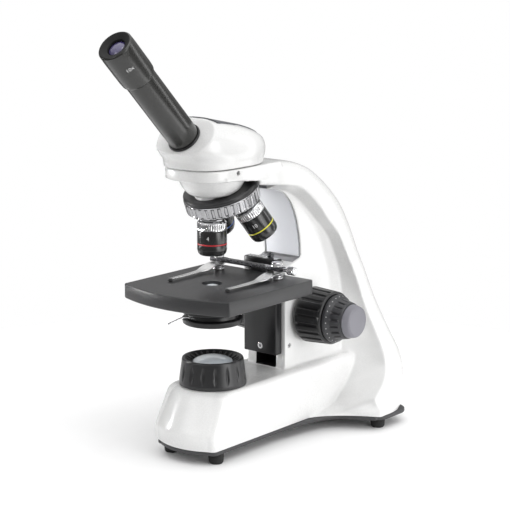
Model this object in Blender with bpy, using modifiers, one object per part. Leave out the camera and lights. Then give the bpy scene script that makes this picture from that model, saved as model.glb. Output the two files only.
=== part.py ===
"""Student microscope with a monocular head, in metres, +Z up.

The origin is the centre of the footprint on the table. The instrument faces -Y: the eyepiece and the
lamp are in front, the arm is behind. The optical axis is vertical, in the plane X = 0, at Y = AXIS_Y.
Every piece is placed in the frame of the optical axis, whose origin is where that axis meets the table.
"""

import math

import bmesh
import bpy
from mathutils import Matrix, Vector

AXIS_Y = -0.0422  # the optical axis, measured from the centre of the footprint
GAP = 0.0003  # between pieces that touch

# Feet, base plate and base
FOOT_RADIUS = 0.0064
FOOT_TOP = 0.0085
FEET = {"front_left": (-0.0237, -0.024), "front_right": (0.0237, -0.024),
        "rear_left": (-0.067, 0.1376), "rear_right": (0.067, 0.1376)}
PLATE_BOTTOM = FOOT_TOP + GAP
PLATE_TOP = 0.012
BASE_BOTTOM = PLATE_TOP + GAP
BASE_TOP = 0.0565
BASE_HALF_WIDTH = 0.031
BASE_WALL = 0.0045
SPINE_WALL = 0.006
TONGUE_REAR = 0.158

DIMMER_PLACE = (0.0, 0.045, 0.034)
REAR_FACE_Y, REAR_FACE_Z = 0.1978, 0.0375  # flat at the back for the switch and the inlet

# Arm
WEB_HALF_WIDTH = 0.020
WEB_FRONT = 0.069
PANEL_HALF_WIDTH = 0.0172
PANEL_THICKNESS = 0.0022
SLOT_HALF_WIDTH = 0.0106
PLATFORM_BOTTOM = 0.2255
PLATFORM_TOP = 0.2347
PLATFORM_FRONT = 0.036

# Lamp
LAMP_TOP = 0.0787
LAMP_TOP_RADIUS = 0.025
LAMP_FOOT_RADIUS = 0.0273
LAMP_LENS_RADIUS = 0.016

# Focus drive: the shafts cross the arm along X
SHAFT_Y = 0.0985
SHAFT_Z = 0.0995
GEAR_MODULE = 0.001
PINION_TEETH = 14
PINION_PITCH_RADIUS = GEAR_MODULE * PINION_TEETH / 2
RACK_PITCH_Y = SHAFT_Y - PINION_PITCH_RADIUS
COARSE_SHAFT_RADIUS = 0.0055
FINE_SHAFT_RADIUS = 0.003
COARSE_INNER_X, COARSE_OUTER_X = 0.0225, 0.050
FINE_INNER_X, FINE_OUTER_X = 0.0503, 0.0732

# Rack block and stage
BLOCK_HALF_WIDTH = 0.0171
BLOCK_FRONT = 0.0603
BLOCK_BOTTOM, BLOCK_TOP = 0.0696, 0.1505
STAGE_TOP = 0.1392
STAGE_THICKNESS = 0.012
STAGE_HALF_WIDTH = 0.055
STAGE_CORNER_FRONT = -0.0443
STAGE_BOW = 0.012
STAGE_REAR = 0.062
STAGE_HOLE_RADIUS = 0.0085
POST_X, POST_Y = 0.031, 0.044
POST_TOP = 0.1535
CLIP_TIP_Y = -0.017

# Condenser and iris
CONDENSER_RADIUS = 0.025
IRIS_TOP, IRIS_BOTTOM = 0.1155, 0.107

# Nosepiece: it turns about an axis that leans back by TURRET_TILT and meets the optical axis at the apex
TURRET_TILT = math.radians(20.5)
APEX_Z = 0.241
TURRET_RADIUS = 0.0307
DISC_TOP, DISC_BOTTOM = 0.0262, 0.0297  # depths below the apex, along the turret's axis
TURRET_TOP, TURRET_RIM = 0.030, 0.041
OBJECTIVE_SEAT = 0.0505  # distances from the apex, along an objective's own axis
OBJECTIVE_TIP = {"4x": 0.0784, "10x": 0.0798, "40x": 0.0798}
IRIS_LEVER_TURN = 23.0
OBJECTIVE_TURN = {"4x": 0.0, "10x": -120.0, "40x": 120.0}
OBJECTIVE_RADIUS = 0.012

# Head, tube and eyepiece: the tube's axis starts at TUBE_START and leans forward by 45 degrees
HEAD_BOTTOM = 0.2353
TUBE_START = (0.0, -0.032, 0.2593)
TUBE_RADIUS, TUBE_BORE = 0.0125, 0.0117
TUBE_LENGTH = 0.0722
EYEPIECE_RADIUS = 0.0139
EYEPIECE_TOP = 0.1081

# Finishes: colour, roughness, metallic
FINISHES = {
    "white_paint": ((0.86, 0.86, 0.85), 0.3, 0.0),
    "grey_panel": ((0.72, 0.73, 0.76), 0.45, 0.0),
    "black_paint": ((0.035, 0.035, 0.04), 0.45, 0.0),
    "black_plastic": ((0.03, 0.03, 0.033), 0.35, 0.0),
    "grey_plastic": ((0.22, 0.22, 0.25), 0.4, 0.0),
    "rubber": ((0.02, 0.02, 0.02), 0.8, 0.0),
    "chrome": ((0.85, 0.85, 0.86), 0.12, 1.0),
    "steel": ((0.6, 0.6, 0.6), 0.3, 1.0),
    "glass": ((0.75, 0.82, 0.88), 0.05, 0.0),
    "circuit_board": ((0.05, 0.25, 0.12), 0.5, 0.0),
}


def clear_scene():
    for obj in list(bpy.data.objects):
        bpy.data.objects.remove(obj, do_unlink=True)


def collection(name):
    made = bpy.data.collections.new(name)
    bpy.context.scene.collection.children.link(made)
    return made


clear_scene()
PARTS = collection("microscope")
CUTTERS = collection("cutters")
CUTTERS.hide_render = True


def axis_frame(point, z_axis=(0, 0, 1)):
    """World matrix of a frame at a point given in the optical axis frame. Its Z points along z_axis; its X
    points along the world's X, or along the world's Y when Z already lies along X."""
    z = Vector(z_axis).normalized()
    x = Vector((1, 0, 0)) if abs(z.x) < 0.9 else Vector((0, 1, 0))
    x = (x - x.dot(z) * z).normalized()
    y = z.cross(x)
    turn = Matrix((x, y, z)).transposed().to_4x4()
    return Matrix.Translation(Vector(point) + Vector((0, AXIS_Y, 0))) @ turn


OPTICAL = axis_frame((0, 0, 0))


def joint_empty(name, frame):
    """An empty on a joint's axis, with its Z along it. The moving pieces are its children."""
    empty = bpy.data.objects.new(name, None)
    empty.empty_display_size = 0.02
    empty.matrix_basis = frame
    PARTS.objects.link(empty)
    return empty


def material_for(name, finish):
    colour, roughness, metallic = FINISHES[finish]
    made = bpy.data.materials.new(name)
    made.use_nodes = True
    made.diffuse_color = (*colour, 1.0)
    shader = made.node_tree.nodes["Principled BSDF"]
    shader.inputs["Base Color"].default_value = (*colour, 1.0)
    shader.inputs["Roughness"].default_value = roughness
    shader.inputs["Metallic"].default_value = metallic
    return made


def add_object(name, mesh, frame, finish=None, parent=None):
    """A part with a finish, or a cutter without one, with its mesh in the given frame."""
    obj = bpy.data.objects.new(name, mesh)
    (PARTS if finish else CUTTERS).objects.link(obj)
    if finish:
        mesh.materials.append(material_for(name, finish))
    else:
        obj.hide_render = True
        obj.display_type = "WIRE"
    if parent:
        obj.parent = parent
        obj.matrix_basis = parent.matrix_basis.inverted() @ frame
    else:
        obj.matrix_basis = frame
    return obj


def mesh_from_bmesh(name, bm):
    mesh = bpy.data.meshes.new(name)
    bmesh.ops.recalc_face_normals(bm, faces=bm.faces)
    bm.to_mesh(mesh)
    bm.free()
    return mesh


def bevel(obj, width, segments=2, angle=40):
    modifier = obj.modifiers.new("edges", "BEVEL")
    modifier.width = width
    modifier.segments = segments
    modifier.limit_method = "ANGLE"
    modifier.angle_limit = math.radians(angle)
    return obj


def boolean(obj, other, operation):
    modifier = obj.modifiers.new(f"{operation.lower()}_{other.name}", "BOOLEAN")
    modifier.object = other
    modifier.operation = operation
    modifier.solver = "EXACT"
    return obj


def cut(obj, *others):
    for other in others:
        boolean(obj, other, "DIFFERENCE")
    return obj


def join(obj, *others):
    for other in others:
        boolean(obj, other, "UNION")
    return obj


def turned(name, profile, frame=OPTICAL, finish=None, parent=None, steps=24):
    """A turned shape about the frame's Z. The profile of (radius, z) starts and ends on the axis, or closes on
    itself as a ring."""
    mesh = bpy.data.meshes.new(name)
    area = sum(a[0] * b[1] - b[0] * a[1] for a, b in zip(profile, [*profile[1:], profile[0]]))
    downwards = profile if area < 0 else profile[::-1]
    points = [(radius, 0.0, z) for radius, z in downwards]
    edges = [(i, i + 1) for i in range(len(points) - 1)]
    if profile[0][0] > 0:
        edges.append((len(points) - 1, 0))
    mesh.from_pydata(points, edges, [])
    obj = add_object(name, mesh, frame, finish, parent)
    screw = obj.modifiers.new("turn", "SCREW")
    screw.axis = "Z"
    screw.angle = math.tau
    screw.steps = screw.render_steps = steps
    screw.use_merge_vertices = True
    screw.merge_threshold = 1e-6
    screw.use_smooth_shade = True
    return obj


def cylinder(name, radius, z_low, z_high, frame=OPTICAL, finish=None, parent=None, sides=32):
    """A solid cylinder along the frame's Z."""
    bm = bmesh.new()
    bmesh.ops.create_cone(bm, cap_ends=True, segments=sides, radius1=radius, radius2=radius,
                          depth=z_high - z_low,
                          matrix=Matrix.Translation((0, 0, (z_low + z_high) / 2)))
    return add_object(name, mesh_from_bmesh(name, bm), frame, finish, parent)


def box(name, low, high, frame=OPTICAL, finish=None, parent=None):
    """A block between two opposite corners in the frame."""
    low, high = Vector(low), Vector(high)
    bm = bmesh.new()
    bmesh.ops.create_cube(bm, size=1.0, matrix=Matrix.Translation((low + high) / 2)
                          @ Matrix.Diagonal((*(high - low), 1.0)))
    return add_object(name, mesh_from_bmesh(name, bm), frame, finish, parent)


def outline_solid(name, outlines, low, high, frame=OPTICAL, finish=None, parent=None):
    """Flat outlines, the first the outer one and the rest its holes, made thick between two heights along Z."""
    curve = bpy.data.curves.new(name, "CURVE")
    curve.dimensions = "2D"
    curve.fill_mode = "BOTH"
    curve.extrude = (high - low) / 2
    for outline in outlines:
        spline = curve.splines.new("POLY")
        spline.points.add(len(outline) - 1)
        for point, (x, y) in zip(spline.points, outline):
            point.co = (x, y, 0, 1)
        spline.use_cyclic_u = True
    guide = bpy.data.objects.new(name + "_outline", curve)
    CUTTERS.objects.link(guide)
    graph = bpy.context.evaluated_depsgraph_get()
    mesh = bpy.data.meshes.new_from_object(guide.evaluated_get(graph))
    bpy.data.objects.remove(guide, do_unlink=True)
    bm = bmesh.new()
    bm.from_mesh(mesh)
    bpy.data.meshes.remove(mesh)
    bmesh.ops.remove_doubles(bm, verts=bm.verts, dist=1e-6)
    bmesh.ops.translate(bm, verts=bm.verts, vec=(0, 0, (high + low) / 2))
    return add_object(name, mesh_from_bmesh(name, bm), frame, finish, parent)


def side_solid(name, outline, half_width, finish=None, parent=None):
    """An outline of (y, z) points made wide along X, between -half_width and half_width."""
    side_frame = axis_frame((0, 0, 0), z_axis=(1, 0, 0))
    return outline_solid(name, [outline], -half_width, half_width, side_frame, finish, parent)


def loft(name, rings, frame=OPTICAL, finish=None, parent=None):
    """A solid through closed rings of the same number of points, with flat ends."""
    bm = bmesh.new()
    rows = [[bm.verts.new(point) for point in ring] for ring in rings]
    for below, above in zip(rows, rows[1:]):
        for i in range(len(below)):
            j = (i + 1) % len(below)
            bm.faces.new((below[i], below[j], above[j], above[i]))
    bm.faces.new(rows[0])
    bm.faces.new(rows[-1])
    return add_object(name, mesh_from_bmesh(name, bm), frame, finish, parent)


def arc(centre, radius, start, end, steps):
    """Points on an arc in the plane, angles in degrees."""
    return [(centre[0] + radius * math.cos(math.radians(start + (end - start) * i / steps)),
             centre[1] + radius * math.sin(math.radians(start + (end - start) * i / steps)))
            for i in range(steps + 1)]


def smooth_through(points, steps):
    """A Catmull-Rom curve through points given by hand."""
    points = [Vector(point) for point in points]
    ends = [2 * points[0] - points[1], *points, 2 * points[-1] - points[-2]]
    made = []
    for a, b, c, d in zip(ends, ends[1:], ends[2:], ends[3:]):
        for i in range(steps):
            t = i / steps
            made.append(0.5 * (2 * b + t * (c - a) + t * t * (2 * a - 5 * b + 4 * c - d)
                               + t ** 3 * (3 * b - a - 3 * c + d)))
    return [*made, points[-1]]


def mirrored(half):
    """A closed outline from its right half, which runs from the front centre to the rear centre."""
    return list(half) + [(-x, *rest) for x, *rest in reversed(half) if x > 1e-6]


# ---------------------------------------------------------------- feet, base plate and stand casting

def front_half(front, bow, radius, half_width):
    """Right half of the base's front: a shallow bow, then a rounded corner."""
    corner_x = half_width - radius
    bowed = [(corner_x * i / 4, front + bow * (i / 4) ** 2) for i in range(5)]
    return bowed[:-1] + arc((corner_x, front + bow + radius), radius, -90, 0, 5)


def plate_outline(inset=0.0):
    """Outline of the base plate: bowed front, parallel sides, flared rear feet with round corners."""
    front = front_half(-0.0435 + inset, 0.0075, 0.006, BASE_HALF_WIDTH - inset)
    flare = smooth_through([(BASE_HALF_WIDTH, 0.045), (0.0330, 0.065), (0.0360, 0.085), (0.0385, 0.097),
                            (0.0430, 0.1065), (0.0530, 0.1145), (0.0650, 0.1205), (0.0735, 0.125)], 3)
    flare = [(point.x - inset, point.y + inset) for point in flare]
    side = 0.078 - inset
    corner = arc((side - 0.012, 0.1365 + inset), 0.012, -50, 0, 3)
    rear = [(side * math.cos(a) ** 0.5, 0.150 + (0.026 - inset) * math.sin(a) ** 0.5)
            for a in (math.radians(10 * i) for i in range(1, 9))]
    return mirrored(front + flare + corner + rear + [(0.0, 0.176 - inset)])


def make_feet():
    for place, (x, y) in FEET.items():
        turned(f"foot_{place}", [(0, FOOT_TOP), (FOOT_RADIUS, FOOT_TOP), (FOOT_RADIUS, 0.0022),
                                 (FOOT_RADIUS - 0.0004, 0.0008), (FOOT_RADIUS - 0.0012, 0.0), (0, 0.0)],
               axis_frame((x, y, 0)), "rubber", steps=14)


def make_base_plate():
    outline_solid("base_plate", [plate_outline()], PLATE_BOTTOM, PLATE_TOP, finish="black_plastic")


# z, front centre, bow, corner radius, half width
TONGUE_LEVELS = [
    (0.0123, -0.0435, 0.0075, 0.006, 0.0310), (0.0180, -0.0452, 0.0078, 0.0065, 0.0315),
    (0.0240, -0.0458, 0.0082, 0.0075, 0.0317), (0.0300, -0.0438, 0.0085, 0.009, 0.0316),
    (0.0400, -0.0395, 0.0090, 0.012, 0.0312), (0.0500, -0.0350, 0.0090, 0.014, 0.0305),
    (0.0540, -0.0329, 0.0090, 0.014, 0.0292), (0.0565, -0.0300, 0.0090, 0.013, 0.0265)]

# crease y and z, y at one and two thirds of the way to the ridge, ridge x, y and z, back y and z, squareness
SPINE_SECTIONS = [
    (0.0640, 0.0123, 0.0985, 0.1165, 0.0770, 0.1275, 0.0123, 0.1755, 0.0123, 4),
    (0.1270, 0.0190, 0.1195, 0.1168, 0.0773, 0.1275, 0.0190, 0.1860, 0.0190, 4),
    (0.1337, 0.0270, 0.1320, 0.1285, 0.0725, 0.1260, 0.0270, 0.1950, 0.0270, 4),
    (0.1385, 0.0360, 0.1430, 0.1465, 0.0655, 0.1485, 0.0360, 0.2005, 0.0360, 4),
    (0.1415, 0.0460, 0.1505, 0.1570, 0.0595, 0.1605, 0.0460, 0.2020, 0.0460, 4),
    (0.1440, 0.0560, 0.1550, 0.1615, 0.0545, 0.1640, 0.0560, 0.2012, 0.0560, 4),
    (0.1460, 0.0680, 0.1560, 0.1620, 0.0485, 0.1650, 0.0680, 0.1973, 0.0680, 4),
    (0.1470, 0.0860, 0.1540, 0.1585, 0.0425, 0.1605, 0.0860, 0.1895, 0.0860, 4),
    (0.1466, 0.1040, 0.1508, 0.1536, 0.0383, 0.1545, 0.1040, 0.1815, 0.1040, 4),
    (0.1436, 0.1240, 0.1464, 0.1480, 0.0352, 0.1482, 0.1240, 0.1722, 0.1260, 4),
    (0.1360, 0.1440, 0.1375, 0.1382, 0.0333, 0.1375, 0.1450, 0.1620, 0.1470, 4),
    (0.1245, 0.1630, 0.1262, 0.1270, 0.0320, 0.1270, 0.1640, 0.1530, 0.1665, 4.2),
    (0.1060, 0.1800, 0.1085, 0.1105, 0.0314, 0.1130, 0.1790, 0.1410, 0.1870, 4.4),
    (0.0960, 0.1880, 0.0980, 0.0995, 0.0310, 0.1010, 0.1925, 0.1265, 0.2020, 4.6),
    (0.0820, 0.1990, 0.0840, 0.0860, 0.0310, 0.0880, 0.2035, 0.1090, 0.2155, 5),
    (0.0680, 0.2065, 0.0700, 0.0715, 0.0310, 0.0735, 0.2115, 0.0890, 0.2268, 5.5),
    (0.0500, 0.2110, 0.0500, 0.0500, 0.0310, 0.0500, 0.2160, 0.0640, 0.2333, 6),
    (0.0240, 0.2140, 0.0240, 0.0240, 0.0305, 0.0240, 0.2195, 0.0240, 0.2339, 6)]
SPINE_INNER_X = 0.0190
HOLLOW_SECTIONS = 12  # the spine is hollow up to this section


def tongue_rings(inset=0.0, levels=None):
    rings = []
    for z, front, bow, radius, half_width in levels or TONGUE_LEVELS:
        half = front_half(front + inset, bow, radius, half_width - inset)
        half += [(half_width - inset, 0.060), (half_width - inset, TONGUE_REAR - inset),
                 (0.0, TONGUE_REAR - inset)]
        rings.append([(x, y, z) for x, y in mirrored(half)])
    return rings


def spine_ring(section, inset=0.0):
    """A section of the spine: a front face between creases and ridges, and a rounded back."""
    (crease_y, crease_z, third_y, two_thirds_y, ridge_x, ridge_y, ridge_z, back_y, back_z, power) = section
    crease_x = SPINE_INNER_X - inset
    ridge_x = ridge_x - inset
    back = Vector((back_y - ridge_y, back_z - ridge_z))
    depth = back.length
    back = back.normalized()
    front_shift = inset * back
    half = [(0.0, crease_y, crease_z), (crease_x, crease_y, crease_z)]
    for share, y in ((1 / 3, third_y), (2 / 3, two_thirds_y), (1.0, ridge_y)):
        half.append((crease_x + (ridge_x - crease_x) * share, y,
                     crease_z + (ridge_z - crease_z) * share))
    half = [(x, y + front_shift.x, z + front_shift.y) for x, y, z in half]
    reach = depth - 2 * inset
    for i in range(1, 11):
        angle = math.pi / 2 * i / 10
        across = ridge_x * math.cos(angle) ** (2 / power)
        along = inset + reach * math.sin(angle) ** (2 / power)
        half.append((across if i < 10 else 0.0, ridge_y + back.x * along, ridge_z + back.y * along))
    return mirrored(half)


def platform_outline():
    """The head platform: a squarish round front, then straight back into the arm."""
    front = [(0.032 * abs(math.sin(a)) ** 0.77, -PLATFORM_FRONT * abs(math.cos(a)) ** 0.77)
             for a in (math.radians(10 * i) for i in range(10))]
    return mirrored(front + [(0.0316, 0.030), (0.0314, 0.052), (0.0, 0.052)])


def web_front_curve():
    """Front edge of the arm above the ledge, in (y, z), from the ledge up to the nosepiece."""
    return [(point.x, point.y) for point in
            smooth_through([(0.0905, 0.1490), (0.0885, 0.1670), (0.0838, 0.1840), (0.0770, 0.1965),
                            (0.0680, 0.2050), (0.0570, 0.2098), (0.0470, 0.2125)], 3)]


def web_outline():
    """Side view of the narrow part of the arm, down into the base and back into the spine."""
    return [(0.150, 0.048), (WEB_FRONT, 0.048), (WEB_FRONT, 0.1400), (0.0720, 0.1435),
            *web_front_curve(), (0.0470, 0.2200), (0.0900, 0.2150), (0.1200, 0.1850), (0.1400, 0.1500),
            (0.1560, 0.1100), (0.1600, 0.0800)]


def offset(points, distance):
    """An open outline moved sideways, to the right of its direction."""
    moved = []
    for i, (y, z) in enumerate(points):
        before, after = points[max(i - 1, 0)], points[min(i + 1, len(points) - 1)]
        along = Vector((after[0] - before[0], after[1] - before[1])).normalized()
        moved.append((y + distance * along.y, z - distance * along.x))
    return moved


def panel_outline(clearance):
    """Side view of the arm's front panel, or of its pocket when the clearance is not zero."""
    front = web_front_curve()[:-2]
    if clearance:
        first = Vector(front[0]) + (Vector(front[0]) - Vector(front[1])).normalized() * clearance
        last = Vector(front[-1]) + (Vector(front[-1]) - Vector(front[-2])).normalized() * clearance
        front = [tuple(first), *front, tuple(last)]
    outer = offset(front, -4 * clearance)
    return outer + offset(front, PANEL_THICKNESS + clearance)[::-1]


def make_stand():
    stand = loft("stand_casting", [spine_ring(section) for section in SPINE_SECTIONS],
                 finish="white_paint")
    arch_hollow = side_solid("arch_hollow", [(-0.010, 0.200), (0.0462, 0.200), (0.0462, 0.2300),
                                             (-0.010, 0.2300)], 0.0272)
    cut(stand, arch_hollow)
    join(stand,
         loft("tongue_body", tongue_rings()),
         side_solid("web_body", web_outline(), WEB_HALF_WIDTH),
         bevel(outline_solid("platform_body", [platform_outline()], PLATFORM_BOTTOM, PLATFORM_TOP),
               0.0012, 2, 60))
    base_levels = [(0.0100, *TONGUE_LEVELS[0][1:]), *TONGUE_LEVELS[1:-2],
                   (0.0520, *TONGUE_LEVELS[-2][1:])]
    hollow_sections = [list(section) for section in SPINE_SECTIONS[:HOLLOW_SECTIONS]]
    for column in (1, 6, 8):
        hollow_sections[0][column] = 0.0100
    cut(stand,
        loft("base_hollow", tongue_rings(BASE_WALL, base_levels)),
        loft("spine_hollow", [spine_ring(section, SPINE_WALL) for section in hollow_sections]),
        side_solid("web_hollow", [(0.0735, 0.050), (0.148, 0.050), (0.142, 0.120), (0.120, 0.175),
                                  (0.0960, 0.192), (0.0960, 0.150), (0.0735, 0.137)], 0.0152),
        side_solid("panel_hollow", [(0.0935, 0.151), (0.1000, 0.151), (0.1000, 0.185), (0.0800, 0.2045),
                                    (0.0600, 0.2145), (0.0500, 0.2145)]
                   + offset(web_front_curve()[2:-3], 0.0040)[::-1], 0.0145),
        side_solid("panel_pocket", panel_outline(GAP), PANEL_HALF_WIDTH + GAP),
        box("slot", (-SLOT_HALF_WIDTH, 0.060, 0.0575), (SLOT_HALF_WIDTH, 0.0760, 0.1450)),
        cylinder("shaft_bore", COARSE_SHAFT_RADIUS + GAP, -0.040, 0.040,
                 axis_frame((0, SHAFT_Y, SHAFT_Z), z_axis=(1, 0, 0)), sides=24),
        cylinder("head_bore", 0.0163, 0.2290, 0.240),
        cylinder("light_bore", 0.0105, 0.220, 0.235),
        cylinder("lamp_bore", 0.0140, 0.050, 0.060),
        cylinder("nosepiece_pocket", TURRET_RADIUS + 0.0010, 0.0240, 0.048, TURRET_FRAME, sides=48),
        cylinder("lock_screw_bore", 0.0020, 0.014, 0.034,
                 axis_frame((0, -0.0053, 0.2318), z_axis=(1, 0, 0)), sides=12),
        cylinder("side_screw_bore", 0.0020, 0.012, 0.022,
                 axis_frame((0, 0.0750, 0.0760), z_axis=(1, 0, 0)), sides=12),
        cylinder("dimmer_bore", 0.0025, -0.034, -0.020,
                 axis_frame(DIMMER_PLACE, z_axis=(1, 0, 0)), sides=12),
        box("rear_pocket", (-0.0270, REAR_FACE_Y, 0.0260), (0.0270, 0.2100, 0.0460)),
        box("switch_window", (-0.0205, 0.1860, REAR_FACE_Z - 0.0055),
            (-0.0065, 0.2000, REAR_FACE_Z + 0.0055)),
        cylinder("inlet_window", 0.0052, 0.1860, 0.2000,
                 axis_frame((0.0135, 0, REAR_FACE_Z), z_axis=(0, 1, 0)), sides=20))
    return stand


def make_panel():
    side_solid("arm_front_panel", panel_outline(0.0), PANEL_HALF_WIDTH, "grey_panel")


def make_set_screws():
    cylinder("head_lock_screw", 0.0017, 0.0175, 0.0309,
             axis_frame((0, -0.0053, 0.2318), z_axis=(1, 0, 0)), "steel", sides=12)
    cylinder("arm_set_screw", 0.0017, 0.0130, 0.0196,
             axis_frame((0, 0.0750, 0.0760), z_axis=(1, 0, 0)), "steel", sides=12)


# ---------------------------------------------------------------- electrical pieces

def make_electrics():
    pivot = (-0.0135, REAR_FACE_Y, REAR_FACE_Z)
    switch = joint_empty("switch_pivot", axis_frame(pivot, z_axis=(1, 0, 0)))
    rocker = [(-0.0035, -0.0037), (0.0012, -0.0048), (0.0003, 0.0), (-0.0003, 0.0048), (-0.0035, 0.0037)]
    outline_solid("power_switch", [rocker], -0.0067, 0.0067, switch.matrix_basis, "black_plastic", switch)
    turned("power_inlet", [(0.0022, REAR_FACE_Y - 0.0004), (0.0049, REAR_FACE_Y - 0.0004),
                           (0.0049, 0.1850), (0.0022, 0.1850)],
           axis_frame((0.0135, 0, REAR_FACE_Z), z_axis=(0, 1, 0)), "black_plastic", steps=14)
    dimmer = joint_empty("dimmer_axis", axis_frame(DIMMER_PLACE, z_axis=(-1, 0, 0)))
    turned("dimmer_knob", [(0, 0.0405), (0.0080, 0.0405), (0.0088, 0.0398), (0.0092, 0.0325),
                           (0.0022, 0.0325), (0.0022, 0.0230), (0, 0.0230)],
           dimmer.matrix_basis, "black_plastic", dimmer, steps=18)


def make_lamp():
    turned("lamp_housing", [
        (0.0165, 0.0725), (0.0200, 0.0730), (0.0205, 0.0775), (0.0220, LAMP_TOP),
        (LAMP_TOP_RADIUS - 0.0008, LAMP_TOP), (LAMP_TOP_RADIUS, LAMP_TOP - 0.0008),
        (LAMP_FOOT_RADIUS, 0.0600), (LAMP_FOOT_RADIUS, BASE_TOP + GAP), (0.0240, BASE_TOP + GAP),
        (0.0225, 0.0690), (0.0165, 0.0690)], finish="black_plastic", steps=30)
    turned("lamp_lens", [(0, 0.0797), (0.006, 0.0794), (0.011, 0.0782), (0.0145, 0.0765),
                         (0.0162, 0.0748), (0.0162, 0.0692), (0, 0.0692)], finish="glass", steps=20)
    turned("led_board", [(0, 0.0640), (0.0028, 0.0632), (0.0030, 0.0606), (0.0180, 0.0606),
                         (0.0180, 0.0590), (0.0120, 0.0590), (0.0120, 0.0520), (0, 0.0520)],
           finish="circuit_board", steps=18)


# ---------------------------------------------------------------- focus drive

def gear_outline():
    """Spur gear with straight-sided teeth, narrowed so that it runs free in the rack."""
    root, tip = PINION_PITCH_RADIUS - 0.00115, PINION_PITCH_RADIUS + 0.0008
    points = []
    for tooth in range(PINION_TEETH):
        middle = 360.0 * (tooth + 0.5) / PINION_TEETH
        for radius, offset in ((root, -8.6), (tip, -2.9), (tip, 2.9), (root, 8.6)):
            angle = math.radians(middle + offset)
            points.append((radius * math.cos(angle), radius * math.sin(angle)))
    return points


def rack_outline():
    """Rack with straight-sided teeth facing +Y, in (y, z), with a tooth at the height of the shaft."""
    pitch = math.pi * GEAR_MODULE
    low, high = -5, 6
    points = [(RACK_PITCH_Y - 0.0035, SHAFT_Z + (low - 0.5) * pitch)]
    for tooth in range(low, high):
        middle = SHAFT_Z + tooth * pitch
        for depth, offset in ((-0.0011, -0.40), (0.0008, -0.14), (0.0008, 0.14), (-0.0011, 0.40)):
            points.append((RACK_PITCH_Y + depth, middle + offset * pitch))
    points.append((RACK_PITCH_Y - 0.0035, SHAFT_Z + (high - 0.5) * pitch - pitch / 2))
    return points


def make_focus_drive(stage):
    coarse = joint_empty("coarse_axis", axis_frame((0, SHAFT_Y, SHAFT_Z), z_axis=(1, 0, 0)))
    frame = coarse.matrix_basis
    pinion = outline_solid("pinion_shaft", [gear_outline()], -0.0042, 0.0042, frame, "steel", coarse)
    bore = cylinder("pinion_shaft_bore", FINE_SHAFT_RADIUS + GAP, -0.06, 0.06, frame, sides=20)
    join(pinion, cylinder("pinion_shaft_tube", COARSE_SHAFT_RADIUS, -0.0480, 0.0480, frame, sides=20))
    cut(pinion, bore)
    fine = joint_empty("fine_axis", frame)
    cylinder("fine_shaft", FINE_SHAFT_RADIUS, -0.0600, 0.0600, frame, "steel", fine, sides=16)
    for name, side in (("left", -1), ("right", 1)):
        knob_frame = axis_frame((0, SHAFT_Y, SHAFT_Z), z_axis=(side, 0, 0))
        turned(f"coarse_knob_{name}", [
            (COARSE_SHAFT_RADIUS + GAP, 0.0482), (0.0195, 0.0482), (0.0195, COARSE_OUTER_X - 0.0003),
            (0.0212, COARSE_OUTER_X - 0.0003), (0.0219, COARSE_OUTER_X - 0.001), (0.0230, 0.0340),
            (0.0235, COARSE_INNER_X + 0.001), (0.0227, COARSE_INNER_X), (0.0120, COARSE_INNER_X),
            (0.0120, COARSE_INNER_X - 0.0018), (COARSE_SHAFT_RADIUS + GAP, COARSE_INNER_X - 0.0018)],
            knob_frame, "black_plastic", coarse, steps=24)
        turned(f"fine_knob_{name}", [
            (0, FINE_OUTER_X), (0.0120, FINE_OUTER_X), (0.0131, FINE_OUTER_X - 0.0010), (0.0141, 0.0672),
            (0.0155, 0.0640), (0.0172, 0.0555), (0.0198, 0.0535), (0.0203, FINE_INNER_X + 0.0005),
            (0.0200, FINE_INNER_X), (0.0190, FINE_INNER_X), (0.0190, 0.0490),
            (FINE_SHAFT_RADIUS + GAP, 0.0490), (FINE_SHAFT_RADIUS + GAP, 0.0605), (0, 0.0605)],
            knob_frame, "grey_plastic", fine, steps=24)
    side_solid("focus_rack", rack_outline(), 0.0038, "steel", stage)


def make_rack_block(slide):
    block = box("rack_block", (-BLOCK_HALF_WIDTH, BLOCK_FRONT, BLOCK_BOTTOM),
                (BLOCK_HALF_WIDTH, WEB_FRONT - 2 * GAP, BLOCK_TOP), finish="black_paint", parent=slide)
    bevel(block, 0.0006, 2)
    tongue_rear = RACK_PITCH_Y - 0.0035 - GAP
    join(block, box("block_tongue", (-0.0100, WEB_FRONT - 0.002, 0.0720), (0.0100, 0.0800, 0.1255)),
         box("block_neck", (-0.0045, 0.0780, 0.0720), (0.0045, tongue_rear, 0.1255)))
    cut(block,
        cylinder("rack_screw_bore", 0.0031, 0.055, 0.0640,
                 axis_frame((0, 0, 0.0757), z_axis=(0, 1, 0)), sides=16),
        cylinder("stop_screw_bore", 0.0017, 0.1440, 0.155, axis_frame((0.008, 0.0645, 0)), sides=12))
    turned("rack_screw", [(0, -0.0622), (0.0014, -0.0618), (0.0014, -0.0608), (0.0028, -0.0608),
                          (0.0028, -0.0637), (0, -0.0637)],
           axis_frame((0, 0, 0.0757), z_axis=(0, -1, 0)), "steel", slide, steps=12)
    turned("stop_screw", [(0, 0.1560), (0.0010, 0.1558), (0.0012, 0.1538), (0.0026, 0.1536),
                          (0.0026, BLOCK_TOP + GAP), (0.0014, BLOCK_TOP + GAP), (0.0014, 0.1445),
                          (0, 0.1445)],
           axis_frame((0.008, 0.0645, 0)), "steel", slide, steps=12)


# ---------------------------------------------------------------- stage, clips and condenser

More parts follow.
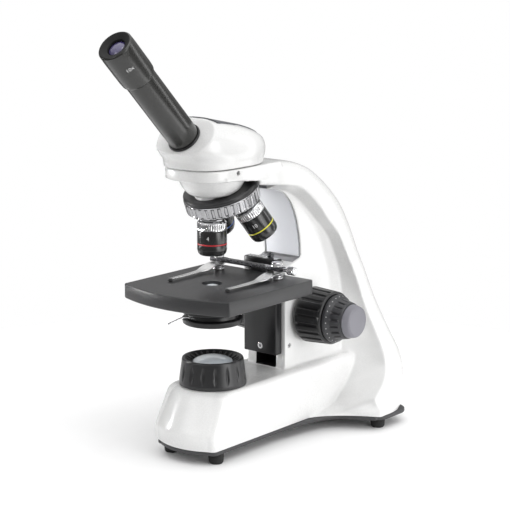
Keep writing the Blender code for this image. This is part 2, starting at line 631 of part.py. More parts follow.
def stage_outline():
    """Square stage with small corners, a bowed front and a notch for the rack block at the rear."""
    corner = 0.0025
    width = STAGE_HALF_WIDTH
    bow = [(width * i / 6, STAGE_CORNER_FRONT - STAGE_BOW * (1 - (i / 6) ** 2)) for i in range(6)]
    notch = BLOCK_HALF_WIDTH + 0.0008
    half = bow + [(width - 0.0012, STAGE_CORNER_FRONT - 0.0004), (width, STAGE_CORNER_FRONT + 0.001)]
    half += arc((width - corner, STAGE_REAR - corner), corner, 0, 90, 3)
    half += [(notch, STAGE_REAR), (notch, BLOCK_FRONT - GAP), (0.0, BLOCK_FRONT - GAP)]
    return mirrored(half)


def make_stage(fine_slide):
    hole = arc((0, 0), STAGE_HOLE_RADIUS, 0, 360 - 360 / 32, 31)
    post_hole = 0.0026 + GAP
    holes = [arc((side * POST_X, POST_Y), post_hole, 0, 360 - 360 / 16, 15) for side in (-1, 1)]
    stage = outline_solid("stage_plate", [stage_outline(), hole, *holes], STAGE_TOP - STAGE_THICKNESS,
                          STAGE_TOP, finish="black_paint", parent=fine_slide)
    bevel(stage, 0.0005, 1, 60)
    box("stage_bracket", (-0.0140, 0.0275, 0.1190), (0.0140, BLOCK_FRONT - GAP, 0.1269),
        finish="black_paint", parent=fine_slide)


def make_clips(fine_slide):
    for name, side in (("left", -1), ("right", 1)):
        place = axis_frame((side * POST_X, POST_Y, 0))
        pivot = joint_empty(f"clip_pivot_{name}", place)
        turned(f"clip_post_{name}", [
            (0, POST_TOP), (0.0042, POST_TOP), (0.0048, POST_TOP - 0.0006), (0.0048, 0.1500),
            (0.0026, 0.1499), (0.0026, 0.1433), (0.0050, 0.1432), (0.0050, STAGE_TOP + GAP),
            (0.0026, STAGE_TOP + GAP), (0.0026, STAGE_TOP - 0.008), (0, STAGE_TOP - 0.008)],
            place, "chrome", fine_slide, steps=14)
        make_clip_spring(name, side, pivot)
        turned(f"clip_tip_{name}", [(0, 0.0016), (0.0022, 0.0014), (0.0026, 0.0), (0, 0.0)],
               axis_frame((side * 0.030, CLIP_TIP_Y, STAGE_TOP + GAP)), "rubber", pivot, steps=12)
    bar = box("clip_bar", (-0.0375, POST_Y - 0.0040, 0.1463), (0.0375, POST_Y + 0.0040, 0.1497),
              finish="steel", parent=fine_slide)
    bevel(bar, 0.0008, 2)
    for side in (-1, 1):
        cut(bar, cylinder(f"bar_hole_{side}", 0.0026 + GAP, 0.14, 0.152,
                          axis_frame((side * POST_X, POST_Y, 0)), sides=20))
    screw = joint_empty("bar_screw_axis", axis_frame((0, POST_Y, 0.1480), z_axis=(1, 0, 0)))
    turned("clip_bar_screw", [(0, 0.0500), (0.0030, 0.0500), (0.0034, 0.0495), (0.0034, 0.0430),
                              (0.0028, 0.0425), (0.0016, 0.0425), (0.0016, 0.0378), (0, 0.0378)],
           screw.matrix_basis, "steel", screw, steps=12)


def make_clip_spring(name, side, pivot):
    """Leaf spring: an eye round the post, a wide leaf that falls to the stage, then a narrow finger."""
    leaf = [(0.0445, 0.1448, 0.0062), (0.0380, 0.1448, 0.0060), (0.0300, 0.1436, 0.0056),
            (0.0235, 0.1420, 0.0048), (0.0180, 0.1415, 0.0030), (0.0000, 0.1412, 0.0024),
            (CLIP_TIP_Y, 0.1413, 0.0018)]
    thickness = 0.0006
    drift = side * (0.030 - POST_X)
    rings = []
    for y, z, half in leaf:
        x = side * POST_X + drift * (POST_Y - y) / (POST_Y - CLIP_TIP_Y)
        rings.append([(x - half, y, z), (x + half, y, z), (x + half, y, z + thickness),
                      (x - half, y, z + thickness)])
    spring = loft(f"clip_spring_{name}", rings, finish="steel", parent=pivot)
    place = axis_frame((side * POST_X, POST_Y, 0))
    join(spring, cylinder(f"clip_eye_{name}", 0.0062, 0.1448, 0.1448 + thickness, place, sides=20))
    cut(spring, cylinder(f"clip_eye_bore_{name}", 0.0029, 0.140, 0.150, place, sides=20))


def make_condenser(fine_slide):
    under_stage = STAGE_TOP - STAGE_THICKNESS - GAP
    turned("condenser_mount", [(0.0090, under_stage), (0.0215, under_stage), (0.0215, 0.1215),
                               (0.0242, 0.1210), (CONDENSER_RADIUS, 0.1203), (CONDENSER_RADIUS, 0.1165),
                               (0.0240, IRIS_TOP + GAP), (0.0090, IRIS_TOP + GAP)],
           finish="black_plastic", parent=fine_slide, steps=24)
    turned("condenser_lens", [(0, 0.1370), (0.0045, 0.1363), (0.0074, 0.1348), (0.0080, 0.1335),
                              (0.0080, 0.1200), (0.0086, 0.1195), (0.0086, 0.1170), (0, 0.1170)], finish="glass", parent=fine_slide,
           steps=18)
    turned("iris_housing", [(0.0120, IRIS_TOP), (0.0215, IRIS_TOP), (0.0215, 0.1125),
                            (0.0240, 0.1122), (0.0246, 0.1115), (0.0240, IRIS_BOTTOM + 0.0006),
                            (0.0234, IRIS_BOTTOM), (0.0150, IRIS_BOTTOM), (0.0120, 0.1085)],
           finish="black_plastic", parent=fine_slide, steps=24)
    iris = joint_empty("iris_axis", axis_frame((0, 0, 0.1138)))
    lever = [(0.0219, 0.1136, 0.0030), (0.0255, 0.1136, 0.0013), (0.0330, 0.1115, 0.0011),
             (0.0390, 0.1095, 0.0011)]
    rings = []
    for radius, z, half in lever:
        rings.append([(-half, -radius, z), (half, -radius, z), (half, -radius, z + 0.0008),
                      (-half, -radius, z + 0.0008)])
    loft("iris_lever", rings, OPTICAL @ Matrix.Rotation(math.radians(-IRIS_LEVER_TURN), 4, "Z"),
         "steel", iris)


# ---------------------------------------------------------------- nosepiece and objectives

TURRET_AXIS = Vector((0, math.sin(TURRET_TILT), -math.cos(TURRET_TILT)))
TURRET_FRAME = axis_frame((0, 0, APEX_Z), z_axis=TURRET_AXIS)


def objective_frame(turn):
    """Frame at the apex with Z down an objective's axis, for an objective turned about the turret's axis."""
    direction = Matrix.Rotation(math.radians(turn), 3, TURRET_AXIS) @ Vector((0, 0, -1))
    return axis_frame((0, 0, APEX_Z), z_axis=direction)


def make_nosepiece():
    mount = turned("nosepiece_mount", [
        (0.0100, PLATFORM_BOTTOM - GAP), (0.0272, PLATFORM_BOTTOM - GAP), (0.0265, 0.2240),
        (0.0246, 0.2200), (0.0222, 0.2160), (0.0190, 0.2125), (0.0150, 0.2104), (0.0138, 0.2102),
        (0.0138, 0.2075), (0.0100, 0.2075)], finish="white_paint", steps=24)
    cut(mount, cylinder("mount_trim", 0.060, DISC_TOP - GAP, 0.060, TURRET_FRAME))
    base = turned("nosepiece_base", [
        (0, DISC_BOTTOM), (0.0303, DISC_BOTTOM), (0.0303, DISC_TOP + 0.0012),
        (0.0292, DISC_TOP), (0, DISC_TOP)], TURRET_FRAME, "black_plastic", steps=28)
    cut(base, cylinder("base_light_bore", 0.0088, 0.195, 0.225),
        cylinder("base_pivot_bore", 0.0034, 0.020, 0.035, TURRET_FRAME, sides=16))
    pivot = joint_empty("turret_pivot", TURRET_FRAME)
    turret = turned("nosepiece_turret", [
        (0, TURRET_TOP), (0.0296, TURRET_TOP), (TURRET_RADIUS, TURRET_TOP + 0.001),
        (TURRET_RADIUS, TURRET_RIM - 0.0012), (0.0298, TURRET_RIM), (0.0270, 0.0426),
        (0.0180, 0.0442), (0.0, 0.0450)], TURRET_FRAME, "chrome", pivot, steps=28)
    for name, turn in OBJECTIVE_TURN.items():
        frame = objective_frame(turn)
        join(turret, cylinder(f"boss_{name}", 0.0106, 0.0400, OBJECTIVE_SEAT - GAP, frame, sides=28))
        cut(turret, cylinder(f"boss_bore_{name}", 0.0082, 0.0200, 0.060, frame, sides=24))
    cut(turret, cylinder("turret_pivot_bore", 0.0034, 0.020, 0.060, TURRET_FRAME, sides=16))
    turned("nosepiece_pivot_screw", [(0, 0.0478), (0.0040, 0.0478), (0.0046, 0.0472),
                                     (0.0046, 0.0453), (0.0030, 0.0453), (0.0030, 0.0265), (0, 0.0265)],
           TURRET_FRAME, "steel", steps=12)
    for name, turn in OBJECTIVE_TURN.items():
        make_objective(name, objective_frame(turn), pivot)


def make_objective(name, frame, pivot):
    """Knurled sleeve, black barrel and front lens, along the frame's Z, which points away from the turret."""
    tip = OBJECTIVE_TIP[name]
    seat = OBJECTIVE_SEAT
    turned(f"objective_{name}_sleeve", [
        (0.0070, seat - 0.0050), (0.0078, seat - 0.0050), (0.0078, seat), (0.0104, seat),
        (0.0108, seat + 0.0020), (OBJECTIVE_RADIUS, seat + 0.0024), (OBJECTIVE_RADIUS, 0.0580),
        (0.0113, 0.0582), (0.0113, 0.0610), (0.0070, 0.0610)], frame, "chrome", pivot, steps=20)
    turned(f"objective_{name}_barrel", [
        (0.0116, 0.0584), (0.0119, 0.0588), (0.0119, tip - 0.0042), (0.0112, tip - 0.0018),
        (0.0097, tip - 0.0004), (0.0078, tip), (0.0050, tip), (0.0042, tip - 0.0012),
        (0.0062, tip - 0.0030), (0.0062, 0.0614), (0.0116, 0.0614)], frame, "black_plastic",
        pivot, steps=20)
    turned(f"objective_{name}_lens", [(0, tip - 0.0032), (0.0059, tip - 0.0032),
                                      (0.0059, tip - 0.0052), (0, tip - 0.0052)], frame, "glass",
           pivot, steps=14)


# ---------------------------------------------------------------- head, tube and eyepiece

# z, front y, rear y, half width
HEAD_LEVELS = [
    (HEAD_BOTTOM, -0.0380, 0.0430, 0.0308), (0.2400, -0.0384, 0.0440, 0.0316),
    (0.2430, -0.0396, 0.0455, 0.0326), (0.2470, -0.0430, 0.0462, 0.0334),
    (0.2510, -0.0450, 0.0450, 0.0336), (0.2560, -0.0450, 0.0405, 0.0326),
    (0.2610, -0.0440, 0.0315, 0.0302), (0.2655, -0.0420, 0.0185, 0.0260),
    (0.2690, -0.0400, 0.0040, 0.0215), (0.2715, -0.0380, -0.0070, 0.0170),
    (0.2735, -0.0370, -0.0150, 0.0110)]
HEAD_SQUARENESS = 2.7
TUBE_DIRECTION = (0, -1, 1)
TUBE_FRAME = axis_frame(TUBE_START, z_axis=TUBE_DIRECTION)


def head_ring(z, front, rear, half_width):
    centre, reach = (front + rear) / 2, (rear - front) / 2
    ring = []
    for i in range(36):
        angle = math.tau * i / 36
        c, s = math.cos(angle), math.sin(angle)
        ring.append((half_width * math.copysign(abs(c) ** (2 / HEAD_SQUARENESS), c),
                     centre + reach * math.copysign(abs(s) ** (2 / HEAD_SQUARENESS), s), z))
    return ring


def cover_outline(lift):
    """Side view of the cover that runs over the head, raised by lift above the head's back."""
    top = smooth_through([(-0.0150, 0.2745), (-0.0050, 0.2722), (0.0070, 0.2685), (0.0190, 0.2655),
                          (0.0320, 0.2615), (0.0410, 0.2570), (0.0465, 0.2505)], 3)
    outer = [(point.x, point.y + lift) for point in top]
    return outer + [(0.0445, 0.2500), (0.0300, 0.2590), (0.0170, 0.2632), (0.0050, 0.2660),
                    (-0.0150, 0.2700)]


def make_head(head):
    housing = loft("head_housing", [head_ring(*level) for level in HEAD_LEVELS],
                   finish="white_paint", parent=head)
    face = box("head_face_trim", (-0.06, -0.06, 0.0), (0.06, 0.06, 0.06), TUBE_FRAME)
    join(housing, cylinder("head_dovetail", 0.0160, 0.2295, 0.240))
    cut(housing, face,
        cylinder("head_light_bore", 0.0118, 0.220, 0.2500),
        cylinder("head_tube_bore", TUBE_RADIUS + GAP, -0.0260, 0.010, TUBE_FRAME),
        side_solid("cover_pocket", [(-0.030, 0.290), *cover_pocket_floor(), (0.060, 0.290)],
                   0.0100 + GAP))
    cover = side_solid("head_top_cover", cover_outline(0.0), 0.0100, "grey_plastic", head)
    cut(cover, box("cover_face_trim", (-0.06, -0.06, -0.0003), (0.06, 0.06, 0.06), TUBE_FRAME))
    prism = [(-0.0085, 0.2330), (0.0085, 0.2330), (0.0085, 0.2480), (0.0040, 0.2480)]
    side_solid("head_prism", prism, 0.0060, "glass", head)


def cover_pocket_floor():
    return [(-0.030, 0.2735), (-0.0150, 0.2697), (0.0050, 0.2657), (0.0170, 0.2629), (0.0300, 0.2587),
            (0.0447, 0.2496), (0.0540, 0.2440)]


def make_tube(head):
    turned("viewing_tube", [
        (TUBE_BORE, TUBE_LENGTH), (TUBE_RADIUS - 0.0003, TUBE_LENGTH), (TUBE_RADIUS, TUBE_LENGTH - 0.0004),
        (TUBE_RADIUS, -0.0120), (TUBE_BORE, -0.0120)], TUBE_FRAME, "black_paint", head, steps=24)
    pull = joint_empty("eyepiece_axis", TUBE_FRAME)
    shoulder = TUBE_LENGTH + GAP
    turned("eyepiece_barrel", [
        (0.0100, 0.0960), (0.0128, 0.0960), (0.0128, shoulder + 0.0005), (0.0126, shoulder),
        (0.0114, shoulder), (0.0114, 0.0480), (0.0100, 0.0480)], TUBE_FRAME, "chrome", pull, steps=24)
    turned("eyepiece_cap", [
        (0.0098, EYEPIECE_TOP), (0.0130, EYEPIECE_TOP), (EYEPIECE_RADIUS, EYEPIECE_TOP - 0.001),
        (0.0141, 0.1000), (0.0138, shoulder + 0.0008), (0.0134, shoulder), (0.0131, shoulder),
        (0.0131, 0.0963), (0.0106, 0.0963), (0.0106, 0.1030)], TUBE_FRAME, "black_plastic", pull,
        steps=24)
    turned("eye_lens", [(0, 0.1018), (0.0055, 0.1014), (0.0097, 0.1002), (0.0102, 0.0996),
                        (0.0102, 0.0966), (0, 0.0966)], TUBE_FRAME, "glass", pull, steps=18)


def main():
    make_feet()
    make_base_plate()
    make_stand()
    make_panel()
    make_set_screws()
    make_electrics()
    make_lamp()
    coarse_slide = joint_empty("coarse_slide", axis_frame((0, WEB_FRONT, SHAFT_Z)))
    fine_slide = joint_empty("fine_slide", axis_frame((0, BLOCK_FRONT, 0.123)))
    make_rack_block(coarse_slide)
    make_focus_drive(coarse_slide)
    make_stage(fine_slide)
    make_clips(fine_slide)
    make_condenser(fine_slide)
    make_nosepiece()
    head = joint_empty("head_axis", axis_frame((0, 0, HEAD_BOTTOM)))
    make_head(head)
    make_tube(head)


main()
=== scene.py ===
"""The looks of the student microscope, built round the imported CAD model.

Everything is in metres. Shapes are drawn in the frame of the optical axis: its origin is where that axis
meets the table, +Z is up and the instrument faces -Y.
"""

import math

import bmesh
import bpy
from mathutils import Matrix, Vector


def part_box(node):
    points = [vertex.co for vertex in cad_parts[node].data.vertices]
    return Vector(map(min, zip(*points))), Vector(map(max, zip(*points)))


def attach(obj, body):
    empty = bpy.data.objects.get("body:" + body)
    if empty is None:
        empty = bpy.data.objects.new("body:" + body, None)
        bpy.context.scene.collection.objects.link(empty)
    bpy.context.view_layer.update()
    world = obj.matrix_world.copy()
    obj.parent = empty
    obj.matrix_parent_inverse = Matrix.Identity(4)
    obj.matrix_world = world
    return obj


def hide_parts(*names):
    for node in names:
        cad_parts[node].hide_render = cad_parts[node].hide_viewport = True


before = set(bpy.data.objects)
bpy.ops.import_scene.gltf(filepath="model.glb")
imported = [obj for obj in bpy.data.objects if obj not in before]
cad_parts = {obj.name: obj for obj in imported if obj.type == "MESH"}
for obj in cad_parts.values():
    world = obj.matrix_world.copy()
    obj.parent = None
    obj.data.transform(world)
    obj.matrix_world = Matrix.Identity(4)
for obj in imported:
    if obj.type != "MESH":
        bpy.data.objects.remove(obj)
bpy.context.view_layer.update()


def middle(node):
    low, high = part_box(node)
    return (low + high) / 2


OPTICAL_Y = middle("lamp_lens").y


def axis_frame(point, z_axis=(0, 0, 1)):
    """World matrix of a frame at a point given in the optical axis frame. Its Z points along z_axis; its X
    points along the world's X, or along the world's Y when Z already lies along X."""
    z = Vector(z_axis).normalized()
    x = Vector((1, 0, 0)) if abs(z.x) < 0.9 else Vector((0, 1, 0))
    x = (x - x.dot(z) * z).normalized()
    turn = Matrix((x, z.cross(x), z)).transposed().to_4x4()
    return Matrix.Translation(Vector(point) + Vector((0, OPTICAL_Y, 0))) @ turn


OPTICAL = axis_frame((0, 0, 0))
WORLD = Matrix.Identity(4)
ALONG_X, ALONG_Y = (1, 0, 0), (0, 1, 0)
GAP = 0.0003

# Places that the CAD model shares
SHAFT_PLACE = (0, middle("fine_shaft").y - OPTICAL_Y, middle("fine_shaft").z)
STAGE_BOTTOM, STAGE_TOP = (corner.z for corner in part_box("stage_plate"))
APEX = Vector((0, 0, 0.241))
TURRET_TILT = math.radians(20.5)
TURRET_AXIS = Vector((0, math.sin(TURRET_TILT), -math.cos(TURRET_TILT)))
TURRET_FRAME = axis_frame(APEX, TURRET_AXIS)
TUBE_START = Vector((0, -0.032, 0.2593))
TUBE_FRAME = axis_frame(TUBE_START, (0, -1, 1))
POST_X, POST_Y = 0.031, 0.044
TIP_X, TIP_Y = 0.03, -0.017
REAR_FACE_Y, REAR_FACE_Z = 0.1978, 0.0375
LOCK_SCREW_FRAME = axis_frame((0, -0.0053, 0.2318), ALONG_X)
ARM_SCREW_FRAME = axis_frame((0, 0.075, 0.076), ALONG_X)
RACK_SCREW_Z = 0.0757
STOP_SCREW_FRAME = axis_frame((0.008, 0.0645, 0))
INLET_FRAME = axis_frame((0.0135, 0, REAR_FACE_Z), ALONG_Y)
DIMMER_Y, DIMMER_Z = 0.045, 0.034


# ---- materials

def put(tree, node, inputs):
    """Sets a node's inputs: a socket is linked to it, anything else is a constant."""
    for name, value in inputs.items():
        if isinstance(value, bpy.types.NodeSocket):
            tree.links.new(value, node.inputs[name])
        else:
            node.inputs[name].default_value = value
    return node


def surface(name, dark, light, roughness, grain, bump, metallic=0.0, coat=0.0, coat_roughness=0.05,
        stretch=(1, 1, 1), specular=0.5, spread=0.15):
    """A material whose colour, roughness and relief vary with one grain and one broad, faint pattern.

    dark and light are the two ends of the colour, each a grey or a red, green and blue; grain is the number
    of grains in a metre; bump is the height of the relief, in micrometres; spread is how far the roughness
    varies, as a share of it."""
    material = bpy.data.materials.new(name)
    material.use_nodes = True
    tree = material.node_tree

    def made(kind, inputs):
        return put(tree, tree.nodes.new(f"ShaderNode{kind}"), inputs)

    place = made("TexCoord", {}).outputs["Object"]
    scaled = made("Mapping", {"Vector": place, "Scale": stretch}).outputs["Vector"]
    fine = made("TexNoise", {"Vector": scaled, "Scale": grain, "Detail": 4.0,
        "Roughness": 0.6}).outputs["Fac"]
    broad = made("TexNoise", {"Vector": place, "Scale": 22.0, "Detail": 3.0}).outputs["Fac"]
    mixed = made("Mix", {"Factor": 0.5, "A": fine, "B": broad}).outputs["Result"]
    ramp = made("ValToRGB", {"Fac": mixed})
    for element, position, colour in zip(ramp.color_ramp.elements, (0.3, 0.7), (dark, light)):
        element.position = position
        element.color = (*(colour if isinstance(colour, tuple) else (colour,) * 3), 1.0)
    sheen = made("MapRange", {"Value": mixed, "From Min": 0.3, "From Max": 0.7,
        "To Min": roughness * (1 - spread), "To Max": roughness * (1 + spread)})
    relief = made("Bump", {"Height": fine, "Strength": 1.0, "Distance": bump * 1e-6})
    put(tree, tree.nodes["Principled BSDF"], {"Base Color": ramp.outputs["Color"], "Metallic": metallic,
        "Roughness": sheen.outputs["Result"], "Normal": relief.outputs["Normal"], "Coat Weight": coat,
        "Coat Roughness": coat_roughness, "Specular IOR Level": specular})
    return material


def coated_glass(name, tint, edge):
    """A coated lens seen against a dark inside: its colour varies between a tint and a paler one."""
    return surface(name, tint, edge, 0.04, 900.0, 2, coat=1.0, coat_roughness=0.02, specular=0.8)


WHITE = surface("white_paint", (0.735, 0.735, 0.73), (0.775, 0.775, 0.77), 0.27, 1400.0, 5, coat=0.55,
    coat_roughness=0.12)
PANEL = surface("grey_panel_paint", (0.8, 0.81, 0.85), (0.85, 0.86, 0.9), 0.38, 1600.0, 8, coat=0.3,
    coat_roughness=0.2)
STAGE_BLACK = surface("wrinkled_black_paint", (0.013, 0.013, 0.014), (0.032, 0.032, 0.034), 0.44, 1900.0,
    50, coat=0.22, coat_roughness=0.3)
BLACK_PAINT = surface("satin_black_paint", (0.006, 0.006, 0.007), (0.013, 0.013, 0.014), 0.32, 2400.0, 10,
    coat=0.1, coat_roughness=0.2, specular=0.38)
BLACK_PLASTIC = surface("black_plastic", (0.008, 0.008, 0.009), (0.02, 0.02, 0.021), 0.3, 3200.0, 12)
PLATE_PLASTIC = surface("base_plate_plastic", (0.032, 0.032, 0.034), (0.052, 0.052, 0.055), 0.5, 2600.0, 20)
GREY_PLASTIC = surface("grey_plastic", (0.022, 0.022, 0.025), (0.04, 0.04, 0.044), 0.36, 2800.0, 14)
CAP_PLASTIC = surface("pale_grey_plastic", (0.17, 0.168, 0.19), (0.22, 0.217, 0.245), 0.42, 2800.0, 10)
COVER_PLASTIC = surface("cover_plastic", (0.075, 0.078, 0.088), (0.11, 0.114, 0.125), 0.34, 2600.0, 12)
LEAF_STEEL = surface("spring_steel", 0.72, (0.9, 0.9, 0.89), 0.3, 500.0, 4, metallic=1.0,
    stretch=(1, 0.15, 1), spread=0.25)
# Painted shade: the faces of the groove round the arm panel are grey, for the shade in that recess.
GROOVE_PAINTED_SHADE = surface("groove_painted_shade", (0.22, 0.22, 0.23), (0.3, 0.3, 0.31), 0.45, 1600.0, 8)
# Painted shade: the faces inside the slot of the arm are near black, for the shade deep in that recess.
SLOT_PAINTED_SHADE = surface("slot_painted_shade", 0.006, 0.014, 0.5, 1800.0, 12)
RUBBER = surface("rubber", 0.01, 0.03, 0.75, 1500.0, 40, specular=0.3)
CHROME = surface("chrome", (0.56, 0.56, 0.57), (0.74, 0.74, 0.75), 0.16, 1200.0, 4, metallic=1.0,
    spread=0.45)
# Painted shade: a darker copy of the chrome, used on the turret, that stands for the dark surroundings its
# flutes reflect.
SHADED_TURRET_CHROME = surface("shaded_turret_chrome", (0.24, 0.24, 0.25), (0.52, 0.52, 0.53), 0.16, 900.0, 6,
    metallic=1.0, spread=0.4)
TUBE_BLACK = surface("satin_tube_black", (0.01, 0.01, 0.009), (0.02, 0.02, 0.018), 0.27, 2600.0, 3,
    coat=0.45, coat_roughness=0.22)
MOUTH_BLACK = surface("matt_black", 0.006, 0.014, 0.5, 2600.0, 10, specular=0.25)
STEEL = surface("brushed_steel", (0.52, 0.52, 0.53), (0.74, 0.74, 0.75), 0.26, 700.0, 8, metallic=1.0,
    stretch=(1, 0.12, 1), spread=0.3)
DARK_STEEL = surface("blackened_steel", (0.05, 0.05, 0.055), (0.12, 0.12, 0.125), 0.27, 1100.0, 10,
    metallic=1.0, stretch=(0.2, 1, 1), spread=0.3)
BARREL_BLACK = surface("anodised_black", 0.008, 0.018, 0.24, 2600.0, 8, coat=0.4, coat_roughness=0.15)
RED = surface("red_ring", (0.42, 0.012, 0.02), (0.6, 0.03, 0.04), 0.35, 1800.0, 6)
YELLOW = surface("yellow_ring", (0.62, 0.58, 0.03), (0.82, 0.78, 0.08), 0.35, 1800.0, 6)
BLUE = surface("blue_ring", (0.03, 0.1, 0.45), (0.06, 0.18, 0.62), 0.35, 1800.0, 6)
WHITE_MARK = surface("white_marks", 0.42, 0.56, 0.5, 1800.0, 6)
NUMBER_WHITE = surface("number_white", 0.7, 0.82, 0.5, 1800.0, 6)
LAMP_GLASS = surface("lamp_glass", (0.62, 0.68, 0.74), (0.86, 0.9, 0.93), 0.09, 260.0, 20, coat=1.0,
    coat_roughness=0.03, specular=0.7)
EYE_GLASS = coated_glass("eye_lens_coating", (0.03, 0.022, 0.085), (0.085, 0.065, 0.22))
FRONT_GLASS = coated_glass("front_lens_coating", (0.02, 0.035, 0.04), (0.05, 0.1, 0.11))
BOARD = surface("circuit_board", (0.015, 0.09, 0.04), (0.03, 0.16, 0.07), 0.4, 1500.0, 20)
GOLD = surface("led_phosphor", (0.75, 0.62, 0.12), (0.85, 0.75, 0.25), 0.4, 1500.0, 10)


# ---- shapes

SHARP = 38  # degrees; edges sharper than this are shaded as edges


def new_object(name, data, at=WORLD):
    obj = bpy.data.objects.new(name, data)
    bpy.context.scene.collection.objects.link(obj)
    obj.matrix_world = at
    return obj


def add(name, bm, at=OPTICAL, material=None, sharp=SHARP):
    """An object from a bmesh."""
    bmesh.ops.recalc_face_normals(bm, faces=bm.faces)
    mesh = bpy.data.meshes.new(name)
    bm.to_mesh(mesh)
    bm.free()
    obj = new_object(name, mesh, at)
    if material:
        mesh.materials.append(material)
    shade(obj, sharp)
    return obj


def shade(obj, sharp=SHARP):
    for polygon in obj.data.polygons:
        polygon.use_smooth = True
    obj.data.set_sharp_from_angle(angle=math.radians(sharp))


def evaluated_mesh(obj):
    return bpy.data.meshes.new_from_object(obj.evaluated_get(bpy.context.evaluated_depsgraph_get()))


def bake(obj, sharp=SHARP):
    """Applies the modifiers."""
    mesh = evaluated_mesh(obj)
    obj.modifiers.clear()
    obj.data = mesh
    shade(obj, sharp)
    return obj


def edges(obj, width, segments=2, angle=35, sharp=SHARP):
    """Rounds the edges sharper than an angle."""
    modifier = obj.modifiers.new("edges", "BEVEL")
    modifier.width = width
    modifier.segments = segments
    modifier.limit_method = "ANGLE"
    modifier.angle_limit = math.radians(angle)
    return bake(obj, sharp)


def combine(obj, others, operation="DIFFERENCE", sharp=SHARP, overlapping=False):
    """Cuts the other shapes from a piece, or joins them to it, and removes them."""
    for other in others:
        modifier = obj.modifiers.new(other.name, "BOOLEAN")
        modifier.object = other
        modifier.operation = operation
        modifier.solver = "EXACT"
        modifier.use_self = overlapping
    bake(obj, sharp)
    for other in others:
        bpy.data.objects.remove(other, do_unlink=True)
    return obj


def cast(obj, voxel, passes):
    """Melts rough shapes into one skin, with the soft fillets of a casting."""
    melt = obj.modifiers.new("melt", "REMESH")
    melt.mode = "VOXEL"
    melt.voxel_size = voxel
    soften = obj.modifiers.new("soften", "SMOOTH")
    soften.factor = 0.5
    soften.iterations = passes
    bake(obj)


def repaint(obj, material):
    """Gives the whole piece one material."""
    obj.data.materials.clear()
    obj.data.materials.append(material)


def merged(name, objects, material=None):
    """One mesh object from several, all given in the world."""
    bm = bmesh.new()
    for obj in objects:
        part = obj.data.copy()
        part.transform(obj.matrix_world)
        bm.from_mesh(part)
        bpy.data.meshes.remove(part)
        bpy.data.objects.remove(obj, do_unlink=True)
    return add(name, bm, WORLD, material)


def piece(obj, body, slot, *cad_nodes):
    """Hands a finished piece to its CAD body, and lets it stand for CAD nodes. Its place goes into its mesh,
    as it does in the CAD nodes. The slot argument is not used."""
    obj.data.transform(obj.matrix_world)
    obj.matrix_world = WORLD
    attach(obj, body)
    if cad_nodes:
        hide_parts(*cad_nodes)
    return obj


def rounded(points, radius=0.0004, steps=3, closed=False):
    """A profile with its corners rounded. A point may carry its own radius as a third number."""
    made = []
    count = len(points)
    for i, point in enumerate(points):
        corner = Vector(point[:2])
        wanted = point[2] if len(point) > 2 else radius
        if not closed and i in (0, count - 1) or wanted <= 0:
            made.append(tuple(corner))
            continue
        before = Vector(points[i - 1][:2]) - corner
        after = Vector(points[(i + 1) % count][:2]) - corner
        between = before.angle(after, math.pi)
        if between > math.radians(176):
            made.append(tuple(corner))
            continue
        reach = min(wanted / math.tan(between / 2), before.length * 0.48, after.length * 0.48)
        start, end = corner + before.normalized() * reach, corner + after.normalized() * reach
        for k in range(steps + 1):
            t = k / steps
            made.append(tuple((1 - t) ** 2 * start + 2 * t * (1 - t) * corner + t * t * end))
    return made


def neighbours(items, closed):
    """Each item with the one after it; a closed row ends with its last and first."""
    return list(zip(items, items[1:] + items[:1])) if closed else list(zip(items, items[1:]))


def divided(points, longest, closed=False):
    """The same profile with no stretch longer than the given length."""
    made = []
    for a, b in neighbours(points, closed):
        parts = max(1, math.ceil(math.dist(a, b) / longest))
        made += [(a[0] + (b[0] - a[0]) * k / parts, a[1] + (b[1] - a[1]) * k / parts) for k in range(parts)]
    return made if closed else [*made, points[-1]]


def turned(name, profile, at, material, sides=96, radius=0.0004, relief=None, longest=None, sharp=SHARP):
    """A turned piece. The profile of (radius, z) starts and ends on the axis, or closes on itself. relief,
    if given, is a function of (radius, z, angle) that returns the radius there."""
    closed = profile[0][0] > 0
    outline = rounded(profile, radius, closed=closed)
    if longest:
        outline = divided(outline, longest, closed)
    bm = bmesh.new()
    rings = []
    for r, z in outline:
        if r < 1e-7:
            rings.append([bm.verts.new((0, 0, z))])
            continue
        ring = []
        for k in range(sides):
            angle = math.tau * k / sides
            here = relief(r, z, angle) if relief else r
            ring.append(bm.verts.new((here * math.cos(angle), here * math.sin(angle), z)))
        rings.append(ring)
    for a, b in neighbours(rings, closed):
        for k in range(sides):
            n = (k + 1) % sides
            if len(a) == 1:
                bm.faces.new((a[0], b[k], b[n]))
            elif len(b) == 1:
                bm.faces.new((a[k], b[0], a[n]))
            else:
                bm.faces.new((a[k], b[k], b[n], a[n]))
    return add(name, bm, at, material, sharp)


def loft(name, rings, at=OPTICAL, material=None, sharp=SHARP):
    """A closed shape through rings of the same number of points."""
    bm = bmesh.new()
    rows = [[bm.verts.new(point) for point in ring] for ring in rings]
    for a, b in zip(rows, rows[1:]):
        for i in range(len(a)):
            j = (i + 1) % len(a)
            bm.faces.new((a[i], a[j], b[j], b[i]))
    bm.faces.new(rows[0])
    bm.faces.new(rows[-1])
    return add(name, bm, at, material, sharp)


def plate(name, outline, low, high, at=OPTICAL, material=None, edge=0.0, segments=2, sharp=SHARP):
    """An outline made thick between two heights along the frame's Z, with rounded edges."""
    obj = loft(name, [[(x, y, z) for x, y in outline] for z in (low, high)], at, material, sharp)
    return edges(obj, edge, segments, sharp=sharp) if edge else obj


def side_plate(name, outline, half_width, material=None, edge=0.0, segments=2):
    """An outline of (y, z) points made wide along X."""
    return plate(name, outline, -half_width, half_width, axis_frame((0, 0, 0), ALONG_X), material, edge,
        segments)


def block(name, low, high, at=OPTICAL, material=None, edge=0.0, segments=3):
    """A block between two corners, with rounded edges."""
    outline = [low[:2], (high[0], low[1]), high[:2], (low[0], high[1])]
    return plate(name, outline, low[2], high[2], at, material, edge, segments)


